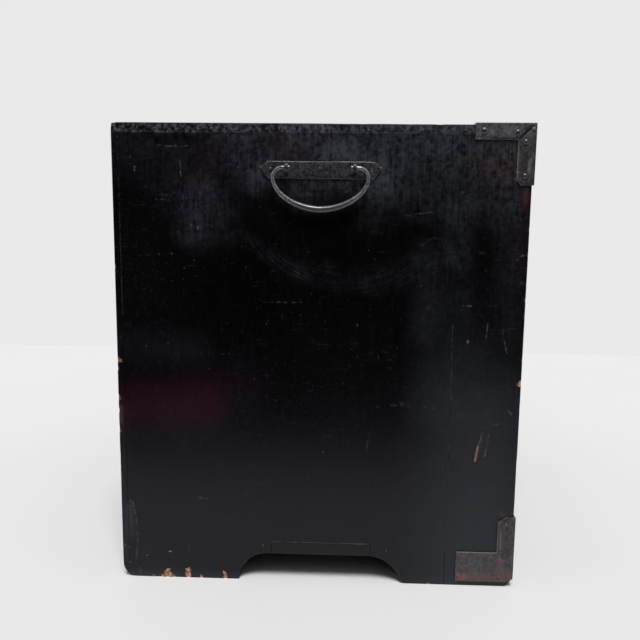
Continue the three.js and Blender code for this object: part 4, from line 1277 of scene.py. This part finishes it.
def handle_places():
    """Name, form, turn, pivot on the wall and seed of every bail"""
    carry_y = (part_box("left_carry_post_left")[0].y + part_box("left_carry_post_right")[1].y) / 2
    carry_z = (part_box("left_carry_post_left")[0].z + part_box("left_carry_post_left")[1].z) / 2
    to_left, to_right = (Matrix.Rotation(math.radians(degrees), 3, "Z") for degrees in (-90, 90))
    yield "left_carry", CARRY, to_left, Vector((LEFT, carry_y, carry_z)), LEFT_CARRY_SEED
    yield "right_carry", CARRY, to_right, Vector((RIGHT, carry_y, carry_z)), RIGHT_CARRY_SEED
    for number, name in enumerate(("top_drawer_1", "top_drawer_2", "upper_drawer", "lower_drawer")):
        low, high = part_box(name + "_post_left")[0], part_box(name + "_post_right")[1]
        pivot = Vector(((low.x + high.x) / 2, FRONT, (low.z + high.z) / 2))
        yield name, PULL, Matrix.Identity(3), pivot, PULL_SEED + number


# Operators


class ChestOperator:
    """What the operators share"""

    bl_options = {"REGISTER", "UNDO"}


class CHEST_OT_end_boards(ChestOperator, bpy.types.Operator):
    """Make the four worn boards of the two ends"""

    bl_idname = "chest.end_boards"
    bl_label = "End Boards"

    def execute(self, context):
        wear_boards("lacquered_board", 1, {
            "left_end_rear_board": "lacquer_upright", "left_end_front_board": "lacquer_upright",
            "right_end_rear_board": "lacquer_right", "right_end_front_board": "lacquer_right",
        })
        return {"FINISHED"}


class CHEST_OT_top_boards(ChestOperator, bpy.types.Operator):
    """Make the two worn boards of the top"""

    bl_idname = "chest.top_boards"
    bl_label = "Top Boards"

    def execute(self, context):
        wear_boards("lacquered_board", 11, dict.fromkeys(("top_board", "top_rear_strip"), "lacquer_top"))
        return {"FINISHED"}


class CHEST_OT_back_boards(ChestOperator, bpy.types.Operator):
    """Make the two lapped boards of the back"""

    bl_idname = "chest.back_boards"
    bl_label = "Back Boards"

    def execute(self, context):
        boards = ("back_lower_board", "back_upper_board")
        wear_boards("lacquered_board", 21, dict.fromkeys(boards, "lacquer_back"))
        return {"FINISHED"}


class CHEST_OT_inner_frame(ChestOperator, bpy.types.Operator):
    """Make the bottom board, the shelves, the partition and the front rail"""

    bl_idname = "chest.inner_frame"
    bl_label = "Bottom, Shelves and Rail"

    def execute(self, context):
        wear_boards("lacquered_board", 31, {
            "bottom_board": "lacquer_level", "main_shelf": "lacquer_level", "partition": "lacquer_upright",
            "drawer_shelf": "lacquer_level", "front_rail": "lacquer_level",
        })
        wear_boards("inner_board", 39, {"door_shelf": "timber_across"})
        return {"FINISHED"}


class CHEST_OT_fronts(ChestOperator, bpy.types.Operator):
    """Make the drawer fronts and the door"""

    bl_idname = "chest.fronts"
    bl_label = "Drawer Fronts and Door"

    def execute(self, context):
        fronts = ("top_drawer_front", "upper_drawer_front", "lower_drawer_front", "door")
        wear_boards("front_board", 41, dict.fromkeys(fronts, "brown_lacquer"))
        return {"FINISHED"}


DRAWERS = ("top_drawer", "upper_drawer", "lower_drawer")


class CHEST_OT_drawer_boxes(ChestOperator, bpy.types.Operator):
    """Make the sides, backs and bottoms of the drawers"""

    bl_idname = "chest.drawer_boxes"
    bl_label = "Drawer Boxes"

    def execute(self, context):
        parts = {
            "side_left": "timber_deep", "side_right": "timber_deep",
            "back": "timber_across", "bottom": "timber_across",
        }
        wear_boards("inner_board", 51, {
            f"{drawer}_{part}": material for drawer in DRAWERS for part, material in parts.items()
        })
        return {"FINISHED"}


class CHEST_OT_straps(ChestOperator, bpy.types.Operator):
    """Forge the four corner straps"""

    bl_idname = "chest.straps"
    bl_label = "Corner Straps"

    def execute(self, context):
        straps = {
            "upper_left_strap": "upper_iron", "upper_right_strap": "upper_iron",
            "lower_left_strap": "strap_iron", "lower_right_strap": "strap_iron",
        }
        for seed, (node, material) in enumerate(straps.items(), 1):
            forge_sheet(node, material, seed)
        return {"FINISHED"}


class CHEST_OT_plates(ChestOperator, bpy.types.Operator):
    """Forge the carrying plates, the lock plates and the hinges"""

    bl_idname = "chest.plates"
    bl_label = "Plates and Hinges"

    def execute(self, context):
        plates = (
            "left_carry_plate", "right_carry_plate", "top_drawer_lock_plate", "door_lock_plate",
            "upper_hinge_door_leaf", "upper_hinge_case_leaf",
            "lower_hinge_door_leaf", "lower_hinge_case_leaf",
        )
        for seed, node in enumerate(plates, 20):
            forge_sheet(node, "plate_iron", seed)
        return {"FINISHED"}


class CHEST_OT_bails(ChestOperator, bpy.types.Operator):
    """Forge the carrying bails and the drawer pulls"""

    bl_idname = "chest.bails"
    bl_label = "Bails"

    def execute(self, context):
        for name, form, turn, pivot, seed in handle_places():
            node = name + "_bail"
            mesh = bail_mesh(form, turn, pivot, seed)
            made = add_mesh(mesh, node + "_wrought", "bail_iron", shade=BAIL_SHADE)
            settle(made, body_of(node), "iron", node)
        return {"FINISHED"}


class CHEST_OT_posts(ChestOperator, bpy.types.Operator):
    """Forge the split posts that hold the bails"""

    bl_idname = "chest.posts"
    bl_label = "Posts"

    def execute(self, context):
        for name, form, turn, pivot, _ in handle_places():
            for side, way in (("left", -1), ("right", 1)):
                node = f"{name}_post_{side}"
                mesh = post_mesh(form, way, turn, pivot)
                mark_arris(mesh)
                made = add_mesh(mesh, node + "_wrought", "post_iron", shade=POST_SHADE)
                settle(made, body_of(node), "iron", node)
        return {"FINISHED"}


# Nails

# Places in one face of a corner strap, in millimetres: the run along the face from its edge, then the drop
# from the top, the height above the floor or the depth from the front. Last is the girth as a share of a
# large head
UPPER_STRAP_NAILS = ((51.3, 6.5, 1.35), (17.4, 8.2, 1.1), (9.2, 17.4, 1.05), (8.4, 51.4, 1.1))
LOWER_STRAP_NAILS = (
    (8.9, 73.5, 0.9), (53.1, 34.3, 0.9), (54.9, 13.9, 1.0), (13.9, 33.6, 1.0), (14.6, 12.8, 1.0),
    (34.3, 25.2, 0.45),
)
TOP_STRAP_NAILS = ((52.0, 8.0, 1.0), (9.0, 9.0, 1.0), (8.0, 52.0, 1.0))
UPPER_STRAP_GIRTH = 1.25
# Places in an end, from its front edge and above the floor. The photographed plate has lost its last nail
PLATE_NAILS = ((269.0, 453.9, 0.85), (218.1, 454.4, 0.85), (165.1, 453.2, 0.8))
END_NAILS = (
    (276.9, 41.0, 0.45), (139.3, 38.7, 0.5), (260.4, 493.9, 0.6), (214.2, 494.2, 0.7),
    (197.8, 494.4, 0.35), (169.2, 493.6, 0.55), (428.6, 83.2, 0.45), (428.0, 34.5, 0.45),
    (427.9, 16.5, 0.4), (408.3, 25.3, 0.45), (70.0, 494.0, 0.4), (330.0, 494.2, 0.5),
    (390.0, 494.0, 0.5),
)
# Where the carrying bail rests when it is swung right up, from the front edge and above the floor, and how
# much of a nail head there is sunk
RAISED_BAIL = (150.0, 285.0)
RAISED_BAIL_HEIGHT = 480.0
SUNK = 0.85
# Nails of the top and the back, in metres: the rows near the ends, and the rows along the rear edge
ROW_ACROSS = 0.271
TOP_ROW = [FRONT + 0.105 + 0.072 * step for step in range(5)]
BACK_ROW = [0.034 + 0.07 * step for step in range(7)]
REAR_ROW = [-0.224 + 0.064 * step for step in range(8)]
REAR_INSET = 3.5 * MM
BACK_HEIGHTS = (0.038, 0.343)
ROW_GIRTH = 0.62
REAR_GIRTH = 0.55
# Places in a hinge's case leaf as shares of its height, and in its door leaf in millimetres
LEAF_SHARES = (0.22, 0.78)
LEAF_INSET = 4.2 * MM
CASE_LEAF_GIRTH = 0.7
DOOR_LEAF_NAILS = ((8.0, 0.0), (24.0, 10.0), (24.0, -10.0), (42.0, 10.0), (42.0, -10.0))
DOOR_LEAF_GIRTH = 0.75
LOCK_EDGE = 3.8 * MM
LOCK_CORNER = 10.0 * MM
LOCK_GIRTH = 0.7
SHEET_FACE = 1.7
# Pegs of the drawers' sides
PEG_INSET = 4.5 * MM
PEG_SUNK = 0.5 * MM
PEG_SHARES = (0.16, 0.5, 0.84)
PEG_GIRTH = 0.6
# A head before it is sized, and the least and the most of its length, width and rise, as shares
HEAD = {"Segments": 12, "Rings": 8, "Radius": 1.0}
HEAD_LEAST = (0.86, 0.86, 0.8)
HEAD_MOST = (1.12, 1.12, 1.2)


def nail_tree():
    """Geometry nodes that put a domed nail head on every point, turned to its wall"""
    name = "Nail Heads"
    if name in bpy.data.node_groups:
        return bpy.data.node_groups[name]
    group = bpy.data.node_groups.new(name, "GeometryNodeTree")
    for label, kind in (
        ("Points", "NodeSocketGeometry"), ("Radius", "NodeSocketFloat"), ("Rise", "NodeSocketFloat"),
        ("Seed", "NodeSocketInt"), ("Material", "NodeSocketMaterial"),
    ):
        group.interface.new_socket(label, in_out="INPUT", socket_type=kind)
    group.interface.new_socket("Nails", in_out="OUTPUT", socket_type="NodeSocketGeometry")
    nodes = Nodes(group)
    given = nodes.add("NodeGroupInput").outputs
    head = nodes.add("GeometryNodeMeshUVSphere", HEAD).outputs["Mesh"]
    flat = nodes.add("ShaderNodeCombineXYZ", {"X": 1.0, "Y": 1.0, "Z": given["Rise"]}).outputs[0]
    dome = nodes.add("GeometryNodeTransform", {"Geometry": head, "Scale": flat}).outputs[0]
    facing, girth = (
        nodes.add("GeometryNodeInputNamedAttribute", {"Name": label}, data_type=kind).outputs["Attribute"]
        for label, kind in (("facing", "FLOAT_VECTOR"), ("girth", "FLOAT"))
    )
    turned = nodes.add("FunctionNodeAlignRotationToVector", {"Vector": facing}, axis="Z").outputs["Rotation"]
    varied = {0: HEAD_LEAST, 1: HEAD_MOST, "Seed": given["Seed"]}
    uneven = nodes.add("FunctionNodeRandomValue", varied, data_type="FLOAT_VECTOR").outputs["Value"]
    size = nodes.times(given["Radius"], girth)
    scale = nodes.add("ShaderNodeVectorMath", {0: uneven, "Scale": size}, operation="SCALE").outputs[0]
    placed = nodes.add(
        "GeometryNodeInstanceOnPoints",
        {"Points": given["Points"], "Instance": dome, "Rotation": turned, "Scale": scale},
    ).outputs["Instances"]
    real = nodes.add("GeometryNodeRealizeInstances", {"Geometry": placed}).outputs[0]
    smooth = nodes.add("GeometryNodeSetShadeSmooth", {"Geometry": real}).outputs[0]
    painted = {"Geometry": smooth, "Material": given["Material"]}
    coated = nodes.add("GeometryNodeSetMaterial", painted).outputs[0]
    nodes.add("NodeGroupOutput", {"Nails": coated})
    return group


def scatter_heads(name, body, slot, material, nails):
    """One mesh of nail heads for one body; each nail is a place, the way it faces and its girth"""
    size = sizes()
    data = bpy.data.meshes.new(name)
    data.from_pydata([place for place, facing, girth in nails], [], [])
    facing = data.attributes.new("facing", "FLOAT_VECTOR", "POINT")
    facing.data.foreach_set("vector", [part for nail in nails for part in nail[1]])
    girth = data.attributes.new("girth", "FLOAT", "POINT")
    girth.data.foreach_set("value", [nail[2] for nail in nails])
    made = add_object(name, data)
    modifier = made.modifiers.new("Nail Heads", "NODES")
    modifier.node_group = nail_tree()
    settings = {
        "Radius": size.nail, "Rise": size.nail_rise, "Seed": size.nail_seed, "Material": finish(material),
    }
    for item in modifier.node_group.interface.items_tree:
        if item.item_type == "SOCKET" and item.in_out == "INPUT" and item.name in settings:
            modifier[item.identifier] = settings[item.name]
    made.data = evaluated_mesh(made)
    made.modifiers.clear()
    settle(made, body, slot)


def on_front_sheet(across, height):
    """A place on the face of an iron sheet on the front"""
    return Vector((across, FRONT - SHEET_FACE * MM, height))


def strap_nails():
    """Nails in the end, front and top faces of all the corner straps"""
    faces = [(run, TOP / MM - drop, UPPER_STRAP_GIRTH * girth) for run, drop, girth in UPPER_STRAP_NAILS]
    faces += LOWER_STRAP_NAILS
    for way, side in SIDES.items():
        for run, height, girth in faces:
            yield on_end(way, run, height, SHEET_FACE), side, girth
            yield on_front_sheet((RIGHT - run * MM) * way, height * MM), FORWARD, girth
        for run, deep, girth in TOP_STRAP_NAILS:
            yield Vector(((RIGHT - run * MM) * way, FRONT + deep * MM, TOP + SHEET_FACE * MM)), UP, girth


def plate_nails():
    """Nails in the carrying plates and the hinges' case leaves"""
    for way, side in SIDES.items():
        for run, height, girth in PLATE_NAILS if way > 0 else PLATE_NAILS[:-1]:
            yield on_end(way, run, height, SHEET_FACE), side, girth
    for hinge in ("upper_hinge_case_leaf", "lower_hinge_case_leaf"):
        low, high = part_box(hinge)
        for share in LEAF_SHARES:
            place = on_front_sheet(high.x - LEAF_INSET, low.z + (high.z - low.z) * share)
            yield place, FORWARD, CASE_LEAF_GIRTH


def wood_nails():
    """Nails straight into the boards: the ends, the top and the back"""
    size = sizes()
    for way, side in SIDES.items():
        for run, height, girth in END_NAILS:
            under_bail = RAISED_BAIL[0] < run < RAISED_BAIL[1] and height > RAISED_BAIL_HEIGHT
            sunk = SUNK * girth * size.nail * size.nail_rise if under_bail else 0.0
            yield on_end(way, run, height, -sunk / MM), side, girth
    for way in SIDES:
        for deep in TOP_ROW:
            yield Vector((ROW_ACROSS * way, deep, TOP)), UP, ROW_GIRTH
        for height in BACK_ROW:
            yield Vector((ROW_ACROSS * way, BACK, height)), REARWARD, ROW_GIRTH
    for across in REAR_ROW:
        yield Vector((across, BACK - REAR_INSET, TOP)), UP, REAR_GIRTH
        for height in BACK_HEIGHTS:
            yield Vector((across, BACK, height)), REARWARD, ROW_GIRTH


def lock_plate_nails(node):
    """Nails near the corners of a lock plate and at the middle of its sides"""
    low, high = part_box(node)
    for across in (low.x + LOCK_CORNER, high.x - LOCK_CORNER):
        for height in (low.z + LOCK_EDGE, high.z - LOCK_EDGE):
            yield on_front_sheet(across, height), FORWARD, LOCK_GIRTH
    for across in (low.x + LOCK_EDGE, high.x - LOCK_EDGE):
        yield on_front_sheet(across, (low.z + high.z) / 2), FORWARD, LOCK_GIRTH


def hinge_door_nails():
    """Nails in the hinges' door leaves"""
    for hinge in ("upper_hinge_door_leaf", "lower_hinge_door_leaf"):
        low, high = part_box(hinge)
        for run, rise in DOOR_LEAF_NAILS:
            place = on_front_sheet(low.x + run * MM, (low.z + high.z) / 2 + rise * MM)
            yield place, FORWARD, DOOR_LEAF_GIRTH


def drawer_pegs(drawer):
    """Pegs along both ends of a drawer's sides"""
    for side, way in (("left", -1), ("right", 1)):
        low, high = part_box(f"{drawer}_side_{side}")
        face = (low.x if way < 0 else high.x) - PEG_SUNK * way
        for deep in (low.y + PEG_INSET, high.y - PEG_INSET):
            for share in PEG_SHARES:
                yield Vector((face, deep, low.z + (high.z - low.z) * share)), SIDES[way], PEG_GIRTH


class CHEST_OT_nails(ChestOperator, bpy.types.Operator):
    """Drive the nails into the straps, the plates and the boards"""

    bl_idname = "chest.nails"
    bl_label = "Nails"

    def execute(self, context):
        for body, nails in (
            ("case", [*strap_nails(), *plate_nails(), *wood_nails()]),
            ("top_drawer", [*lock_plate_nails("top_drawer_lock_plate")]),
            ("door", [*lock_plate_nails("door_lock_plate"), *hinge_door_nails()]),
        ):
            scatter_heads(body + "_nails", body, "iron", "nail_iron", nails)
        return {"FINISHED"}


class CHEST_OT_pegs(ChestOperator, bpy.types.Operator):
    """Drive the wooden pegs into the drawers' sides"""

    bl_idname = "chest.pegs"
    bl_label = "Drawer Pegs"

    def execute(self, context):
        for drawer in DRAWERS:
            scatter_heads(drawer + "_pegs", drawer, "inner_board", "timber_across", [*drawer_pegs(drawer)])
        return {"FINISHED"}


# Stage

# Corners of the floor and of the black sheet, in metres
FLOOR = ((-2.4, -2.6, 0.0), (1.17, -2.6, 0.0), (1.17, 2.6, 0.0), (-2.4, 2.6, 0.0))
FLAG = ((-0.67, -0.9, 0.0), (-0.67, 0.9, 0.0), (-0.67, 0.9, 0.86), (-0.67, -0.9, 0.86))
STAGE_CLOUDS = {"mottle": (3.0, 2.0, 0.5)}
STAGE_STEPS = {"mottle": (0.3, 0.7)}
STAGE_SHADE = 0.99
STAGE_ROUGH = 0.9
STAGE_SPECULAR = 0.1
# How high the even light starts and is full, as the Z of its direction
SKY_RISE = (0.3, 0.85)
# Width of the camera's sensor in millimetres, and how near it still sees in metres
SENSOR = 36.0
CLIP_START = 0.01


def add_plane(name, corners, tint):
    """A flat piece of the stage in a plain finish"""
    coat = Coat(name, STAGE_CLOUDS, STAGE_STEPS)
    base = coat.blend(coat.step("mottle", coat.cloud("mottle")), tint, [part * STAGE_SHADE for part in tint])
    coat.paint(Base_Color=base, Roughness=STAGE_ROUGH, Specular_IOR_Level=STAGE_SPECULAR)
    data = bpy.data.meshes.new(name)
    data.from_pydata(corners, [], [tuple(range(len(corners)))])
    data.materials.append(bpy.data.materials[name])
    made = add_object(name, data)
    return made


def light_world(scene, stage, tint):
    """Soft light from above, and the pale backdrop wherever the camera or a reflection sees it"""
    world = bpy.data.worlds.new("studio")
    world.use_nodes = True
    scene.world = world
    world.node_tree.nodes.clear()
    nodes = Nodes(world.node_tree)
    path = nodes.add("ShaderNodeLightPath").outputs
    rays = (path[f"Is {kind} Ray"] for kind in ("Camera", "Glossy", "Transmission"))
    seen = nodes.maths("MAXIMUM", *rays)
    rise = nodes.parts(nodes.add("ShaderNodeTexCoord").outputs["Generated"])["Z"]
    strength = nodes.ramp(rise, *SKY_RISE, 0.0, stage.sky)
    sky = nodes.add("ShaderNodeBackground", {"Color": opaque((1.0, 1.0, 1.0)), "Strength": strength})
    back = nodes.add("ShaderNodeBackground", {"Color": opaque(tint.backdrop), "Strength": 1.0})
    mixed = nodes.add("ShaderNodeMixShader", {0: seen, 1: sky.outputs[0], 2: back.outputs[0]})
    nodes.add("ShaderNodeOutputWorld", {"Surface": mixed.outputs[0]})


def add_key(stage):
    """The soft key lamp, high in front of the photographed end"""
    lamp = bpy.data.lights.new("key", "SUN")
    lamp.energy = stage.key
    lamp.angle = stage.key_softness
    level = math.cos(stage.key_height)
    towards = Vector((
        -level * math.cos(stage.key_turn), -level * math.sin(stage.key_turn), math.sin(stage.key_height),
    ))
    key = add_object("key", lamp)
    key.rotation_mode = "QUATERNION"
    key.rotation_quaternion = towards.to_track_quat("Z", "Y")


def add_camera(scene, stage):
    """The camera where the photograph was taken from"""
    pitch, yaw, roll = stage.camera_turn
    forward = Vector((math.cos(yaw) * math.cos(pitch), math.sin(yaw) * math.cos(pitch), -math.sin(pitch)))
    level = Vector((math.sin(yaw), -math.cos(yaw), 0.0))
    upright = level.cross(forward)
    across = level * math.cos(roll) + upright * math.sin(roll)
    up = upright * math.cos(roll) - level * math.sin(roll)
    data = bpy.data.cameras.new("camera")
    data.sensor_width = SENSOR
    data.lens = stage.lens
    data.clip_start = CLIP_START
    camera = add_object("camera", data)
    camera.rotation_mode = "QUATERNION"
    camera.rotation_quaternion = Matrix((across, up, -forward)).transposed().to_quaternion()
    camera.location = stage.camera_place
    scene.camera = camera


class CHEST_OT_stage(ChestOperator, bpy.types.Operator):
    """Set the floor, the backdrop, the lamps and the camera"""

    bl_idname = "chest.stage"
    bl_label = "Stage"

    def execute(self, context):
        scene = context.scene
        tint = colours()
        add_plane("floor", FLOOR, tint.floor)
        flag = add_plane("reflection_flag", FLAG, tint.flag)
        for ray in ("camera", "diffuse", "shadow", "transmission"):
            setattr(flag, "visible_" + ray, False)
        light_world(scene, scene.chest_stage, tint)
        add_key(scene.chest_stage)
        add_camera(scene, scene.chest_stage)
        scene.view_settings.view_transform = "Standard"
        return {"FINISHED"}


OPERATORS = (
    CHEST_OT_stage,
    CHEST_OT_end_boards,
    CHEST_OT_top_boards,
    CHEST_OT_back_boards,
    CHEST_OT_inner_frame,
    CHEST_OT_fronts,
    CHEST_OT_drawer_boxes,
    CHEST_OT_straps,
    CHEST_OT_plates,
    CHEST_OT_bails,
    CHEST_OT_posts,
    CHEST_OT_nails,
    CHEST_OT_pegs,
)


GROUPS = {"chest_sizes": ChestSizes, "chest_colours": ChestColours, "chest_stage": ChestStage}


class CHEST_PT_panel(bpy.types.Panel):
    """The chest's settings and operators"""

    bl_label = "Ship Chest"
    bl_idname = "CHEST_PT_panel"
    bl_space_type = "VIEW_3D"
    bl_region_type = "UI"
    bl_category = "Ship Chest"

    def draw(self, context):
        for name in GROUPS:
            group = getattr(context.scene, name)
            box = self.layout.box()
            for setting in group.__annotations__:
                box.prop(group, setting)
        for operator in OPERATORS:
            self.layout.operator(operator.bl_idname)


CLASSES = (*GROUPS.values(), *OPERATORS, CHEST_PT_panel)


def register():
    """Registers the settings, the operators and the panel"""
    for item in CLASSES:
        bpy.utils.register_class(item)
    for name, group in GROUPS.items():
        setattr(bpy.types.Scene, name, PointerProperty(type=group))


def unregister():
    """Takes them away again"""
    for name in GROUPS:
        delattr(bpy.types.Scene, name)
    for item in reversed(CLASSES):
        bpy.utils.unregister_class(item)


def main():
    """Makes the whole chest"""
    register()
    for operator in OPERATORS:
        folder, name = operator.bl_idname.split(".")
        if getattr(getattr(bpy.ops, folder), name)() != {"FINISHED"}:
            raise RuntimeError(f"{operator.bl_label} did not finish")


if __name__ == "__main__":
    main()
